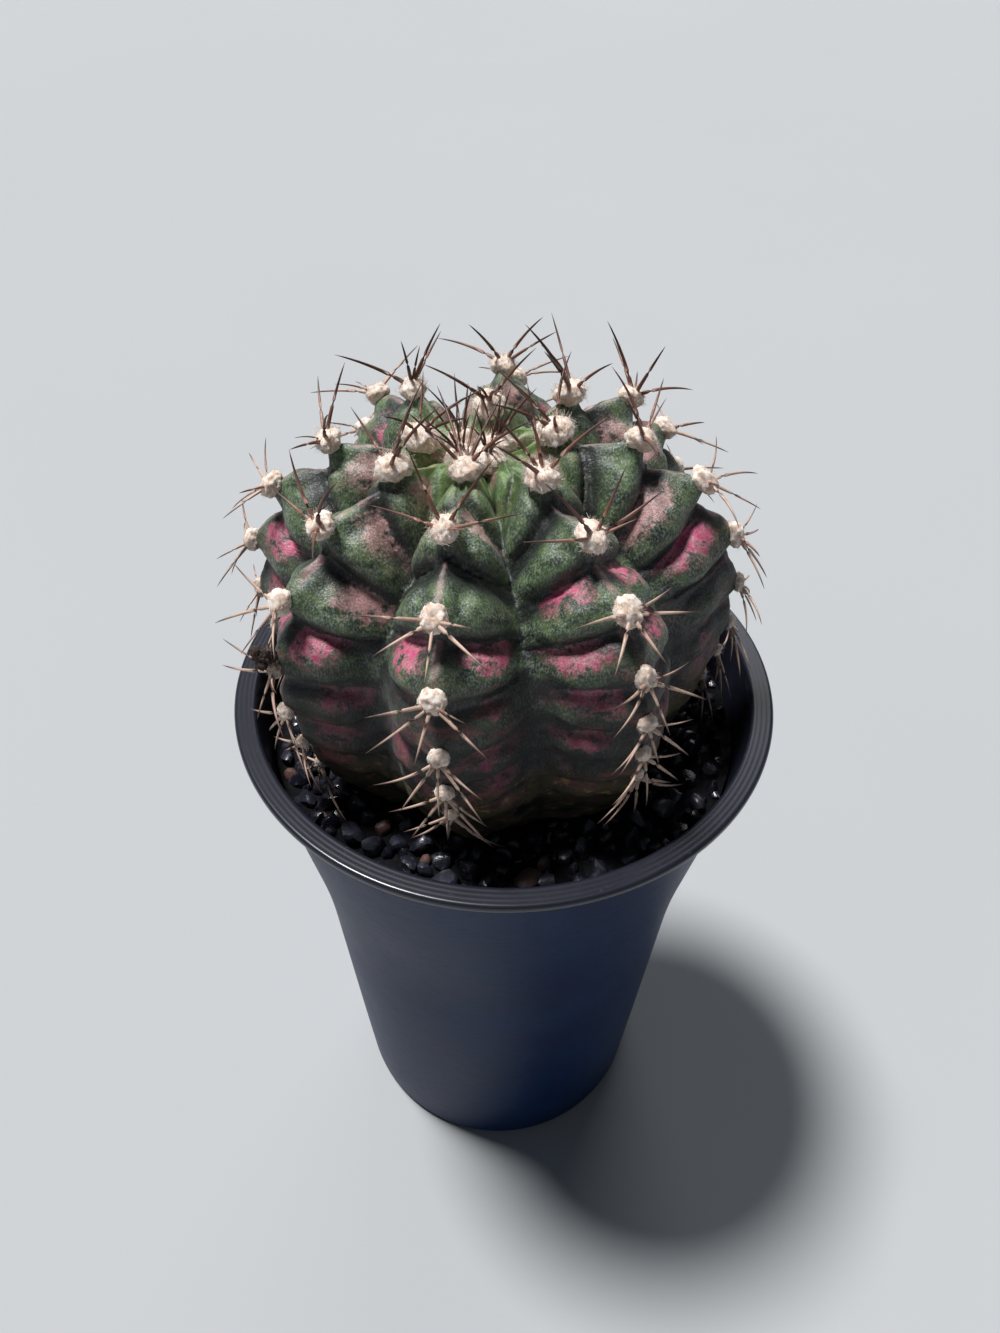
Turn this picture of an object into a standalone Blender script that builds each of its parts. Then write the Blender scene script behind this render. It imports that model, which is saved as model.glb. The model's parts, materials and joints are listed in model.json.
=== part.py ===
"""Chin cactus growing in a tall plastic pot, in metres, +Z up.

The origin is the middle of the pot's flat underside. The plant has its own frame, an empty at
the level where the stem leaves the gravel, which carries the plant's slight lean. Eight ribs
run from the foot to the crown, and each carries a row of areoles: a wool pad with its spines.
"""

import math
import random

import bmesh
import bpy
from mathutils import Euler, Matrix, Vector

MM = 0.001
GAP = 0.3 * MM
MERGE = 0.02 * MM
ROUND_STEPS = 40
# How much further than the gap the room round the stem is grown, since a moved vertex brings
# the faces beside it out by less than its own step
ROOM_SHARE = 1.15

# Pot
POT_HEIGHT = 112.0 * MM
RIM_RADIUS = 42.5 * MM
RIM_THICKNESS = 1.5 * MM
RIM_ROUNDING = 0.6 * MM
BASE_RADIUS = 29.9 * MM
WALL_SLOPE = 0.053
FLARE_SLOPE = 0.16
FLARE_LOW = 60.0 * MM
FLARE_HIGH = 80.0 * MM
BASE_ROUNDING = 1.6 * MM
POT_WALL = 1.0 * MM
POT_FLOOR = 1.4 * MM
DRAIN_HOLES = 5
DRAIN_RADIUS = 3.5 * MM
DRAIN_CIRCLE = 18.0 * MM
DRAIN_STEPS = 12
DRAIN_CUTTER_DEPTH = 4.0 * POT_FLOOR

# Filling
MIX_TOP = 96.0 * MM
GRAVEL_TOP = 102.6 * MM
GRAVEL_RELIEF = 0.5 * MM
GRAVEL_RINGS = 6
GRAVEL_SEED = 11

# Plant frame: where the stem's axis meets the gravel, and how far it leans in degrees
PLANT_PLACE = Vector((0.2, 2.1, 100.0)) * MM
LEAN_LEFT = 4.5
LEAN_BACK = 1.7

# Crest line of a rib, from the foot to the crown, as (radius, height) in millimetres in the
# plant's frame
CREST_LINE = (
    (0.0, -9.5), (10.0, -8.8), (19.5, -5.5), (27.0, 2.0), (32.6, 11.5), (35.4, 21.0),
    (36.0, 31.0), (34.3, 40.0), (29.6, 47.2), (23.0, 52.4), (15.5, 54.7), (8.5, 54.0),
    (3.2, 51.4), (0.0, 50.6),
)
CREST_SAMPLES = 24
AREOLE_CENTRE = 25.0 * MM

# Furrows between the ribs: greatest depth, where along the crest line, and a rib's roundness
FURROW_DEPTH = 6.4 * MM
FURROW_DEEPEST_AT = 0.70
RIB_ROUNDNESS = 2.2
CHIN_HEIGHT = 0.7 * MM
CHIN_WIDTH = 0.28

STEM_ROWS = 29
STEM_POINTS_PER_RIB = 6

# Each rib: name, azimuth in degrees from the front, first and last areole's angle above the
# stem's middle in degrees, and how many areoles the rib carries
RIBS = (
    ("front", -9.6, 74.0, -13.0, 7),
    ("front_right", 34.4, 64.0, -13.0, 7),
    ("right", 85.3, 71.0, -24.0, 8),
    ("back_right", 124.4, 63.0, 5.0, 5),
    ("back", 171.4, 74.0, -2.0, 6),
    ("back_left", 216.9, 62.0, 0.0, 5),
    ("left", 265.7, 75.0, -17.0, 7),
    ("front_left", 307.9, 66.0, -20.0, 7),
)
AREOLE_CROWDING = 0.42

# Areole kinds, from the crown down: the angle each starts below, wool pad radius and height,
# and its spines as (direction from straight down the rib, lift off the stem, length)
AREOLE_KINDS = (
    ("young", 90.0, 2.1 * MM, 1.5 * MM, ((-150, 62, 9.0), (150, 62, 9.0), (-70, 48, 10.0),
                                         (70, 48, 10.0), (0, 55, 8.5))),
    ("grown", 60.0, 2.4 * MM, 1.6 * MM, ((-120, 42, 12.0), (120, 42, 12.0), (-62, 30, 12.0),
                                         (62, 30, 12.0), (-10, 44, 9.5))),
    ("old", 24.0, 2.2 * MM, 1.4 * MM, ((-96, 26, 10.5), (96, 26, 10.5), (-52, 22, 10.0),
                                       (52, 22, 10.0), (6, 30, 7.5))),
    ("foot", -4.0, 1.7 * MM, 1.1 * MM, ((-84, 26, 6.2), (84, 26, 6.2), (-38, 24, 5.8),
                                        (38, 24, 5.8))),
)
SPINE_THICKNESS = 0.55 * MM
SPINE_TIP = 0.3
SPINE_ROOT = 0.35 * MM
PAD_SEGMENTS = 7
PAD_RINGS = 5

# Crown: the youngest areoles, whose wool has grown together
CROWN_PAD_RADIUS = 4.0 * MM
CROWN_PAD_HEIGHT = 2.2 * MM
CROWN_SPINES = 7
CROWN_SPINE_LENGTH = 6.5
CROWN_SPINE_LIFT = 72
CROWN_RAISE = 0.4 * MM

# Dried flower, on the upper edge of one areole of the front left rib
FLOWER_RIB = "front_left"
FLOWER_AREOLE = 4
FLOWER_LENGTH = 5.6 * MM
FLOWER_RADIUS = 1.9 * MM
FLOWER_OFFSET = 4.0 * MM
FLOWER_SINK = 0.4 * MM
FLOWER_LIFT = 4.0
FLOWER_SEGMENTS = 9
FLOWER_RINGS = 8
# Width at the flower's foot and its growth towards the tip, as shares of its radius, and the
# range of its wrinkles
FLOWER_FOOT = 0.45
FLOWER_SWELL = 0.75
FLOWER_WRINKLES = (0.82, 1.05)
FLOWER_SEED = 5

MATERIALS = {
    "pot": ((0.012, 0.020, 0.045), 0.42),
    "potting_mix": ((0.030, 0.022, 0.016), 0.95),
    "gravel": ((0.018, 0.018, 0.022), 0.35),
    "stem": ((0.050, 0.085, 0.035), 0.55),
    "wool": ((0.780, 0.680, 0.540), 0.95),
    "spines": ((0.480, 0.300, 0.200), 0.50),
    "dried_flower": ((0.060, 0.035, 0.022), 0.85),
}


def clear_scene():
    for obj in list(bpy.data.objects):
        bpy.data.objects.remove(obj, do_unlink=True)


def make_collection(name):
    collection = bpy.data.collections.new(name)
    bpy.context.scene.collection.children.link(collection)
    return collection


def make_material(name):
    colour, roughness = MATERIALS[name]
    material = bpy.data.materials.new(name)
    material.use_nodes = True
    shader = material.node_tree.nodes["Principled BSDF"]
    shader.inputs["Base Color"].default_value = (*colour, 1.0)
    shader.inputs["Roughness"].default_value = roughness
    shader.inputs["Metallic"].default_value = 0.0
    material.diffuse_color = (*colour, 1.0)
    return material


def add_object(name, mesh, collection, material=None, parent=None, matrix=None):
    obj = bpy.data.objects.new(name, mesh)
    collection.objects.link(obj)
    if material is not None:
        mesh.materials.clear()
        mesh.materials.append(material)
    obj.parent = parent
    if matrix is not None:
        obj.matrix_local = matrix
    return obj


def make_cutter(obj):
    obj.hide_render = True
    obj.display_type = "WIRE"


def boolean(obj, other, operation, use_self=False):
    modifier = obj.modifiers.new(operation.lower(), "BOOLEAN")
    modifier.operation = operation
    modifier.object = other
    modifier.solver = "EXACT"
    modifier.use_self = use_self
    return modifier


def evaluated_mesh(obj):
    bpy.context.view_layer.update()
    depsgraph = bpy.context.evaluated_depsgraph_get()
    return bpy.data.meshes.new_from_object(obj.evaluated_get(depsgraph))


def turned_object(name, outline, collection, material):
    """A solid of revolution from an outline of (radius, height) that runs down its outer side."""
    mesh = bpy.data.meshes.new(name)
    points = [Vector((radius, 0.0, height)) for radius, height in outline]
    edges = [(i, i + 1) for i in range(len(points) - 1)]
    mesh.from_pydata(points, edges, [])
    obj = add_object(name, mesh, collection, material)
    screw = obj.modifiers.new("turn", "SCREW")
    screw.axis = "Z"
    screw.steps = ROUND_STEPS
    screw.render_steps = ROUND_STEPS
    screw.use_merge_vertices = True
    screw.merge_threshold = MERGE
    screw.use_smooth_shade = True
    return obj


def arc(centre, radius, start, stop, steps):
    """Points on an arc in the (radius, height) plane, angles in degrees."""
    points = []
    for i in range(steps + 1):
        angle = math.radians(start + (stop - start) * i / steps)
        points.append((centre[0] + radius * math.cos(angle), centre[1] + radius * math.sin(angle)))
    return points


def wall_radius(height):
    """Outer radius of the pot's wall, whose slope grows between the flare's two heights."""
    bend = FLARE_HIGH - FLARE_LOW
    into_bend = min(max(height - FLARE_LOW, 0.0), bend)
    above_bend = max(height - FLARE_HIGH, 0.0)
    extra = FLARE_SLOPE - WALL_SLOPE
    return BASE_RADIUS + WALL_SLOPE * height + extra * (0.5 * into_bend ** 2 / bend + above_bend)


def flare_heights():
    return [FLARE_LOW, 0.5 * (FLARE_LOW + FLARE_HIGH), FLARE_HIGH]


def bore_radius(height):
    return wall_radius(height) - POT_WALL


def make_pot(collection, cutters, material):
    rim_low = POT_HEIGHT - RIM_THICKNESS
    corner = RIM_RADIUS - RIM_ROUNDING
    inner_corner = bore_radius(rim_low) + RIM_ROUNDING
    outline = [(0.0, POT_FLOOR), (bore_radius(POT_FLOOR), POT_FLOOR)]
    outline += [(bore_radius(height), height) for height in flare_heights()]
    outline += arc((inner_corner, POT_HEIGHT - RIM_ROUNDING), RIM_ROUNDING, 180, 90, 2)
    outline += arc((corner, POT_HEIGHT - RIM_ROUNDING), RIM_ROUNDING, 90, 0, 2)
    outline += arc((corner, rim_low + RIM_ROUNDING), RIM_ROUNDING, 0, -90, 2)
    outline.append((wall_radius(rim_low), rim_low))
    outline += [(wall_radius(height), height) for height in reversed(flare_heights())]
    outline += arc((BASE_RADIUS - BASE_ROUNDING, BASE_ROUNDING), BASE_ROUNDING, 0, -90, 3)
    outline += [(0.0, 0.0)]
    pot = turned_object("pot", outline, collection, material)
    for i in range(DRAIN_HOLES):
        angle = 2.0 * math.pi * (i + 0.5) / DRAIN_HOLES
        mesh = bpy.data.meshes.new("drain_cutter")
        shape = bmesh.new()
        bmesh.ops.create_cone(shape, cap_ends=True, segments=DRAIN_STEPS, radius1=DRAIN_RADIUS,
                              radius2=DRAIN_RADIUS, depth=DRAIN_CUTTER_DEPTH)
        shape.to_mesh(mesh)
        shape.free()
        place = Vector((DRAIN_CIRCLE * math.cos(angle), DRAIN_CIRCLE * math.sin(angle), 0.0))
        cutter = add_object(f"drain_cutter_{i + 1}", mesh, cutters,
                            matrix=Matrix.Translation(place))
        make_cutter(cutter)
        boolean(pot, cutter, "DIFFERENCE")
    return pot


def fill_outline(low, high, rings):
    """Outline of a filling that keeps the gap to the pot's bore, with rings across its top."""
    outline = [(bore_radius(high) * i / rings, high) for i in range(rings)]
    outline.append((bore_radius(high) - GAP, high))
    outline += [(bore_radius(height) - GAP, height) for height in reversed(flare_heights())
                if low < height]
    outline += [(bore_radius(low) - GAP, low), (0.0, low)]
    return outline


def make_potting_mix(collection, stem_room, material):
    outline = fill_outline(POT_FLOOR + GAP, MIX_TOP, 1)
    mix = turned_object("potting_mix", outline, collection, material)
    boolean(mix, stem_room, "DIFFERENCE")
    return mix


def make_gravel_bed(collection, stem_room, material):
    """The gravel as one solid with a gently uneven top, around the stem's foot."""
    source = turned_object("gravel_source", fill_outline(MIX_TOP + GAP, GRAVEL_TOP, GRAVEL_RINGS),
                           collection, material)
    mesh = evaluated_mesh(source)
    bpy.data.objects.remove(source, do_unlink=True)
    rng = random.Random(GRAVEL_SEED)
    edge = bore_radius(GRAVEL_TOP) - 2.0 * GAP
    for vertex in mesh.vertices:
        if vertex.co.z > GRAVEL_TOP - MERGE and vertex.co.xy.length < edge:
            vertex.co.z += rng.uniform(-GRAVEL_RELIEF, GRAVEL_RELIEF)
    bed = add_object("gravel_bed", mesh, collection, material)
    boolean(bed, stem_room, "DIFFERENCE")
    return bed


def smooth_line(points, samples):
    """A Catmull-Rom curve through the points, as a dense list."""
    ends = [points[0] * 2.0 - points[1], *points, points[-1] * 2.0 - points[-2]]
    line = []
    for i in range(1, len(ends) - 2):
        before, start, stop, after = ends[i - 1:i + 3]
        for j in range(samples):
            t = j / samples
            line.append(0.5 * (2.0 * start + (stop - before) * t
                               + (2.0 * before - 5.0 * start + 4.0 * stop - after) * t ** 2
                               + (3.0 * (start - stop) + after - before) * t ** 3))
    line.append(points[-1])
    return line


class Crest:
    """The crest line of a rib, read by arc length or by angle above the stem's middle."""

    def __init__(self):
        self.line = smooth_line([Vector(point) * MM for point in CREST_LINE], CREST_SAMPLES)
        self.lengths = [0.0]
        for start, stop in zip(self.line, self.line[1:]):
            self.lengths.append(self.lengths[-1] + (stop - start).length)
        self.length = self.lengths[-1]

    def at(self, length):
        """Point, outward normal and tangent towards the crown."""
        length = min(max(length, 0.0), self.length)
        i = 0
        while i < len(self.line) - 2 and self.lengths[i + 1] < length:
            i += 1
        start, stop = self.line[i], self.line[i + 1]
        share = (length - self.lengths[i]) / (self.lengths[i + 1] - self.lengths[i])
        tangent = (stop - start).normalized()
        return start.lerp(stop, share), Vector((tangent.y, -tangent.x)), tangent

    def length_at_angle(self, degrees):
        def gap(i):
            point = self.line[i]
            return abs(math.degrees(math.atan2(point.y - AREOLE_CENTRE, point.x)) - degrees)
        return self.lengths[min(range(len(self.line)), key=gap)]


def areole_angles(first, last, count):
    """Angles of a rib's areoles, wider apart near the crown."""
    angles = []
    for i in range(count):
        share = i / (count - 1)
        angles.append(first + (last - first) * share * (1.0 + AREOLE_CROWDING * (1.0 - share)))
    return angles


def furrow_depth(share):
    """Depth of the furrow at a share of the crest's length from foot to crown."""
    if share < FURROW_DEEPEST_AT:
        return FURROW_DEPTH * math.sin(0.5 * math.pi * share / FURROW_DEEPEST_AT) ** 2
    return FURROW_DEPTH * math.sin(0.5 * math.pi * (1.0 - share) / (1.0 - FURROW_DEEPEST_AT))


def chin_height(crest, rib, length):
    """Swelling of the rib below each of its areoles."""
    stations = [crest.length_at_angle(angle) for angle in areole_angles(*rib[2:])]
    height = 0.0
    for upper, lower in zip(stations, stations[1:]):
        middle = 0.5 * (upper + lower)
        width = CHIN_WIDTH * (upper - lower)
        height += CHIN_HEIGHT * math.exp(-((length - middle) / width) ** 2)
    return height


def stem_point(crest, rib, length, azimuth, across):
    """A point of the stem: across is 0 on the crest and 1 in the furrow."""
    point, normal, _ = crest.at(length)
    point = point - normal * furrow_depth(length / crest.length) * across ** RIB_ROUNDNESS
    point = point + normal * chin_height(crest, rib, length) * (1.0 - across)
    return Vector((point.x * math.sin(azimuth), -point.x * math.cos(azimuth), point.y))


def make_stem_mesh(crest):
    shape = bmesh.new()
    columns = []
    count = len(RIBS)
    for i, rib in enumerate(RIBS):
        before = RIBS[i - 1][1] - (360.0 if i == 0 else 0.0)
        after = RIBS[(i + 1) % count][1] + (360.0 if i == count - 1 else 0.0)
        half = STEM_POINTS_PER_RIB // 2
        for j in range(-half, half):
            edge = 0.5 * ((before if j < 0 else after) - rib[1])
            across = abs(j) / half
            columns.append((rib, math.radians(rib[1] + edge * across), across))
    rows = []
    for row in range(1, STEM_ROWS):
        length = crest.length * row / STEM_ROWS
        rows.append([shape.verts.new(stem_point(crest, rib, length, azimuth, across))
                     for rib, azimuth, across in columns])
    foot = shape.verts.new((0.0, 0.0, crest.line[0].y))
    crown = shape.verts.new((0.0, 0.0, crest.line[-1].y))
    width = len(columns)
    for lower, upper in zip(rows, rows[1:]):
        for j in range(width):
            k = (j + 1) % width
            shape.faces.new((lower[j], lower[k], upper[k], upper[j]))
    for j in range(width):
        k = (j + 1) % width
        shape.faces.new((rows[-1][j], rows[-1][k], crown))
        shape.faces.new((rows[0][k], rows[0][j], foot))
    bmesh.ops.recalc_face_normals(shape, faces=shape.faces)
    mesh = bpy.data.meshes.new("stem")
    shape.to_mesh(mesh)
    shape.free()
    return mesh


def grown_copy(mesh, distance):
    """A copy of a closed mesh with its surface moved outwards."""
    copy = mesh.copy()
    normals = [vertex.normal.copy() for vertex in mesh.vertices]
    for vertex, normal in zip(copy.vertices, normals):
        vertex.co += normal * distance
    return copy


def make_stem(crest, collection, cutters, frame, material):
    mesh = make_stem_mesh(crest)
    room = add_object("stem_room", grown_copy(mesh, GAP * ROOM_SHARE), cutters, parent=frame)
    make_cutter(room)
    stem = add_object("stem", mesh, collection, material, parent=frame)
    mesh.shade_smooth()
    return stem, room


def spine_line(direction, lift, length):
    """Root and tip of a spine in its areole's frame, direction counted from down the rib."""
    turn, rise = math.radians(direction), math.radians(lift)
    heading = Vector((math.sin(turn) * math.cos(rise), -math.cos(turn) * math.cos(rise),
                      math.sin(rise)))
    return [heading * SPINE_ROOT, heading * length * MM]


def make_spines(lines, collection):
    curve = bpy.data.curves.new("spines", "CURVE")
    curve.dimensions = "3D"
    curve.bevel_depth = 0.5 * SPINE_THICKNESS
    curve.bevel_resolution = 0
    curve.use_fill_caps = True
    for line in lines:
        spline = curve.splines.new("POLY")
        spline.points.add(len(line) - 1)
        for i, point in enumerate(line):
            spline.points[i].co = (*point, 1.0)
            spline.points[i].radius = 1.0 + (SPINE_TIP - 1.0) * i / (len(line) - 1)
    source = bpy.data.objects.new("spine_source", curve)
    collection.objects.link(source)
    mesh = evaluated_mesh(source)
    bpy.data.objects.remove(source, do_unlink=True)
    shape = bmesh.new()
    shape.from_mesh(mesh)
    bmesh.ops.remove_doubles(shape, verts=shape.verts, dist=MERGE)
    bmesh.ops.recalc_face_normals(shape, faces=shape.faces)
    shape.to_mesh(mesh)
    shape.free()
    return mesh


def make_areole_mesh(name, pad_radius, pad_height, lines, cutters):
    """One wool pad joined with its spines, in the areole's frame: +Y up the rib, +Z outwards."""
    shape = bmesh.new()
    bmesh.ops.create_uvsphere(shape, u_segments=PAD_SEGMENTS, v_segments=PAD_RINGS, radius=1.0)
    bmesh.ops.scale(shape, vec=Vector((pad_radius, pad_radius, pad_height)), verts=shape.verts)
    pad_mesh = bpy.data.meshes.new(name)
    shape.to_mesh(pad_mesh)
    shape.free()
    pad = add_object("pad_source", pad_mesh, cutters)
    spines = add_object("spines_source", make_spines(lines, cutters), cutters)
    boolean(pad, spines, "UNION", use_self=True)
    mesh = evaluated_mesh(pad)
    mesh.name = name
    bpy.data.objects.remove(pad, do_unlink=True)
    bpy.data.objects.remove(spines, do_unlink=True)
    return mesh


def areole_matrix(crest, azimuth, length):
    """Frame of an areole on the crest, with +Y up the rib and +Z out of the stem."""
    point, normal, tangent = crest.at(length)
    angle = math.radians(azimuth)
    out = Vector((math.sin(angle), -math.cos(angle), 0.0))
    up = Vector((0.0, 0.0, 1.0))
    z_axis = out * normal.x + up * normal.y
    y_axis = out * tangent.x + up * tangent.y
    x_axis = y_axis.cross(z_axis)
    matrix = Matrix((x_axis, y_axis, z_axis)).transposed().to_4x4()
    matrix.translation = out * point.x + up * point.y
    return matrix


def make_areoles(crest, collection, cutters, frame, room, material):
    meshes = {}
    for name, _, radius, height, spines in AREOLE_KINDS:
        lines = [spine_line(*spine) for spine in spines]
        meshes[name] = make_areole_mesh(f"{name}_areole", radius, height, lines, cutters)
    for rib in RIBS:
        for i, angle in enumerate(areole_angles(*rib[2:])):
            kind = [row[0] for row in AREOLE_KINDS if angle <= row[1]][-1]
            matrix = areole_matrix(crest, rib[1], crest.length_at_angle(angle))
            areole = add_object(f"areole_{rib[0]}_{i + 1}", meshes[kind], collection, material,
                                parent=frame, matrix=matrix)
            boolean(areole, room, "DIFFERENCE")


def make_crown(crest, collection, cutters, frame, room, material):
    lines = []
    for i in range(CROWN_SPINES):
        direction = 360.0 * i / CROWN_SPINES
        turn = Matrix.Rotation(math.radians(direction), 3, "Z")
        foot = turn @ Vector((0.0, -0.5 * CROWN_PAD_RADIUS, 0.0))
        line = spine_line(direction, CROWN_SPINE_LIFT, CROWN_SPINE_LENGTH)
        lines.append([point + foot for point in line])
    mesh = make_areole_mesh("crown_wool", CROWN_PAD_RADIUS, CROWN_PAD_HEIGHT, lines, cutters)
    matrix = Matrix.Translation(Vector((0.0, 0.0, crest.line[-1].y + CROWN_RAISE)))
    crown = add_object("crown_wool", mesh, collection, material, parent=frame, matrix=matrix)
    boolean(crown, room, "DIFFERENCE")
    return crown


def make_dried_flower(crest, collection, frame, room, material):
    """A shrivelled tube, widest past its middle, that leaves the stem just above an areole."""
    rib = next(row for row in RIBS if row[0] == FLOWER_RIB)
    angle = areole_angles(*rib[2:])[FLOWER_AREOLE - 1]
    matrix = areole_matrix(crest, rib[1], crest.length_at_angle(angle))
    shape = bmesh.new()
    bmesh.ops.create_uvsphere(shape, u_segments=FLOWER_SEGMENTS, v_segments=FLOWER_RINGS,
                              radius=1.0)
    rng = random.Random(FLOWER_SEED)
    for vertex in shape.verts:
        along = 0.5 * (vertex.co.z + 1.0)
        wrinkle = rng.uniform(*FLOWER_WRINKLES)
        swell = FLOWER_RADIUS * (FLOWER_FOOT + FLOWER_SWELL * along) * wrinkle
        vertex.co = Vector((vertex.co.x * swell, vertex.co.y * swell, along * FLOWER_LENGTH))
    mesh = bpy.data.meshes.new("dried_flower")
    shape.to_mesh(mesh)
    shape.free()
    offset = Matrix.Translation(Vector((0.0, FLOWER_OFFSET, -FLOWER_SINK)))
    turn = Euler((math.radians(-FLOWER_LIFT), 0.0, 0.0)).to_matrix().to_4x4()
    flower = add_object("dried_flower", mesh, collection, material, parent=frame,
                        matrix=matrix @ offset @ turn)
    mesh.shade_smooth()
    boolean(flower, room, "DIFFERENCE")
    return flower


def main():
    clear_scene()
    parts = make_collection("chin_cactus")
    cutters = make_collection("cutters")
    materials = {name: make_material(name) for name in MATERIALS}

    frame = bpy.data.objects.new("plant_frame", None)
    parts.objects.link(frame)
    frame.location = PLANT_PLACE
    frame.rotation_euler = (math.radians(-LEAN_BACK), math.radians(-LEAN_LEFT), 0.0)
    bpy.context.view_layer.update()

    crest = Crest()
    _, room = make_stem(crest, parts, cutters, frame, materials["stem"])
    make_pot(parts, cutters, materials["pot"])
    make_potting_mix(parts, room, materials["potting_mix"])
    make_gravel_bed(parts, room, materials["gravel"])
    make_areoles(crest, parts, cutters, frame, room, materials["spines"])
    make_crown(crest, parts, cutters, frame, room, materials["wool"])
    make_dried_flower(crest, parts, frame, room, materials["dried_flower"])
    bpy.context.view_layer.update()


main()
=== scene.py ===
"""Looks of a chin cactus in a tall plastic pot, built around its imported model."""

import json
import math
import random

import bmesh
import bpy
import numpy as np
from bpy.props import FloatProperty, FloatVectorProperty, IntProperty, PointerProperty
from mathutils import Matrix, Vector, noise

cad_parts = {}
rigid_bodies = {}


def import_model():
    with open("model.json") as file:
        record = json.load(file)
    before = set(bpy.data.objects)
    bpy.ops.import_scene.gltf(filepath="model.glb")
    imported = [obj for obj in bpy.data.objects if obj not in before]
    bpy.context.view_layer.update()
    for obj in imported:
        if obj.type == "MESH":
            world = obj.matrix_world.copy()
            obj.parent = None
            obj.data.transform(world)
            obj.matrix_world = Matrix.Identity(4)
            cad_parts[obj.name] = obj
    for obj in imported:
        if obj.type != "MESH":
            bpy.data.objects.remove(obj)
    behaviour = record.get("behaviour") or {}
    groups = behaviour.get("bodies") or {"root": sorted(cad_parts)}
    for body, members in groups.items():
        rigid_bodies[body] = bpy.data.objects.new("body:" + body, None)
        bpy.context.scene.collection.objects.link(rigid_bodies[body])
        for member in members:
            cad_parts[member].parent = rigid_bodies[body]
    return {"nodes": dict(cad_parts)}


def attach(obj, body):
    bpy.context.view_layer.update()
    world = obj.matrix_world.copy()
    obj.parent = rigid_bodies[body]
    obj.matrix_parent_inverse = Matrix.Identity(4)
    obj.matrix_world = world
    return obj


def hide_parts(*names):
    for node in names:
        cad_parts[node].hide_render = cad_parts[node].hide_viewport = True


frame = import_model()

bl_info = {
    "name": "Potted Chin Cactus",
    "version": (1, 0, 0),
    "blender": (4, 5, 0),
    "location": "3D View > Sidebar > Cactus",
    "description": "Builds the visible pieces of a chin cactus in its pot",
    "category": "Add Mesh",
}

MM = 0.001
UP = Vector((0.0, 0.0, 1.0))
BODY = "root"
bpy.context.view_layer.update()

# Plant frame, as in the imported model: where the stem's axis meets the gravel, and its lean
PLANT_PLACE = Vector((0.2, 2.1, 100.0)) * MM
LEAN_LEFT = 4.5
LEAN_BACK = 1.7

# Crest line of a rib, from the foot to the crown, as (radius, height) in the plant's frame
CREST_LINE = (
    (0.0, -9.5), (10.0, -8.8), (19.5, -5.5), (27.0, 2.0), (32.6, 11.5), (35.4, 21.0),
    (36.0, 31.0), (34.3, 40.0), (29.6, 47.2), (23.0, 52.4), (15.5, 54.7), (8.5, 54.0),
    (3.2, 51.4), (0.0, 50.6),
)
CREST_SAMPLES = 24
AREOLE_CENTRE = 25.0 * MM

# Each rib: name, azimuth from the front, first and last areole's angle, areoles in the packed
# model, and areoles shown, which go on further down at the back
RIBS = (
    ("front", -9.6, 74.0, -13.0, 7, 7),
    ("front_right", 34.4, 64.0, -13.0, 7, 7),
    ("right", 85.3, 71.0, -24.0, 8, 8),
    ("back_right", 124.4, 63.0, 5.0, 5, 7),
    ("back", 171.4, 74.0, -2.0, 6, 8),
    ("back_left", 216.9, 62.0, 0.0, 5, 7),
    ("left", 265.7, 75.0, -17.0, 7, 7),
    ("front_left", 307.9, 66.0, -20.0, 7, 7),
)
AREOLE_CROWDING = 0.42
EXTRA_STEP = 11.5

# Youngest areoles: (radius, azimuth) in the crown, their height, tilt and angle on the stem
CROWN_AREOLES = ((2.4, 34.0), (3.0, 128.0), (4.2, 216.0), (2.8, 300.0))
CROWN_HEIGHT = 51.3
CROWN_TILT = -14.0
CROWN_ANGLE = 88.0

# Furrows between ribs
FURROW_DEEPEST_AT = 0.70
FURROW_BLEND = (2.4, 2.4, 2.1, 1.6, 0.9, 0.45, 0.3, 0.25, 0.25)
# Width of the painted shade along the creases where two ribs meet
CREASE_SHADE_WIDTH = 0.35 * MM

# Tubercles by share of the crest line from foot to crown: height in millimetres, how far
# their lower edge slants down the flank as a share of their spacing, and how square the
# rib's section is
SHAPE_RISE = (0.20, 0.32, 0.45, 0.58, 0.70, 0.80, 0.88, 0.95, 1.00)
LOBE_HEIGHT = (0.1, 0.5, 1.0, 2.0, 3.4, 3.8, 3.0, 1.5, 0.0)
LOBE_SLANT = (0.00, 0.00, 0.02, 0.08, 0.18, 0.30, 0.38, 0.42, 0.42)
RIB_SQUARENESS = (1.1, 1.1, 1.15, 1.2, 1.25, 1.25, 1.2, 1.2, 1.2)
# Within a tubercle, from the notch below one areole (0) to the notch below the next (1):
# the areole, the middle of the side lobe and the lobe's reach up, down and across
AREOLE_PHASE = 0.74
LOBE_PHASE = 0.60
LOBE_ABOVE = 0.47
LOBE_BELOW = 0.38
LOBE_REACH = (0.80, 0.80, 0.78, 0.80, 0.90, 0.99, 1.04, 1.04, 1.04)
LOBE_BLUNTNESS = 5
LOBE_UPPER_FALL = 0.80
LOBE_LOWER_FALL = 0.55
KEEL_WIDTH = 0.11
KEEL_RAMP = 0.88
SADDLE_DEPTH = 0.35
SADDLE_PLACE = 0.24
SADDLE_WIDTH = 0.17
# Tubercles beyond a rib's last areoles, and their spacing above the first one
SPARE_ABOVE = 4
SPARE_BELOW = 6
SPARE_SPACING = 0.85

# The stem's mesh, along the crest line from its buried start to the crown
STEM_COLUMNS = 416
STEM_ROWS_BURIED = 10
STEM_ROWS = 196
STEM_START = 0.02
GRAVEL_RISE = 0.24
STEM_END = 0.995
LUCK_SEED = 23
LUCK_TUBERCLES = 24
# Unevenness of the skin: size and depth in millimetres, and the place in the noise
STEM_RIPPLES = ((7.0, 0.60, 3.1), (1.6, 0.10, 7.7))

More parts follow.
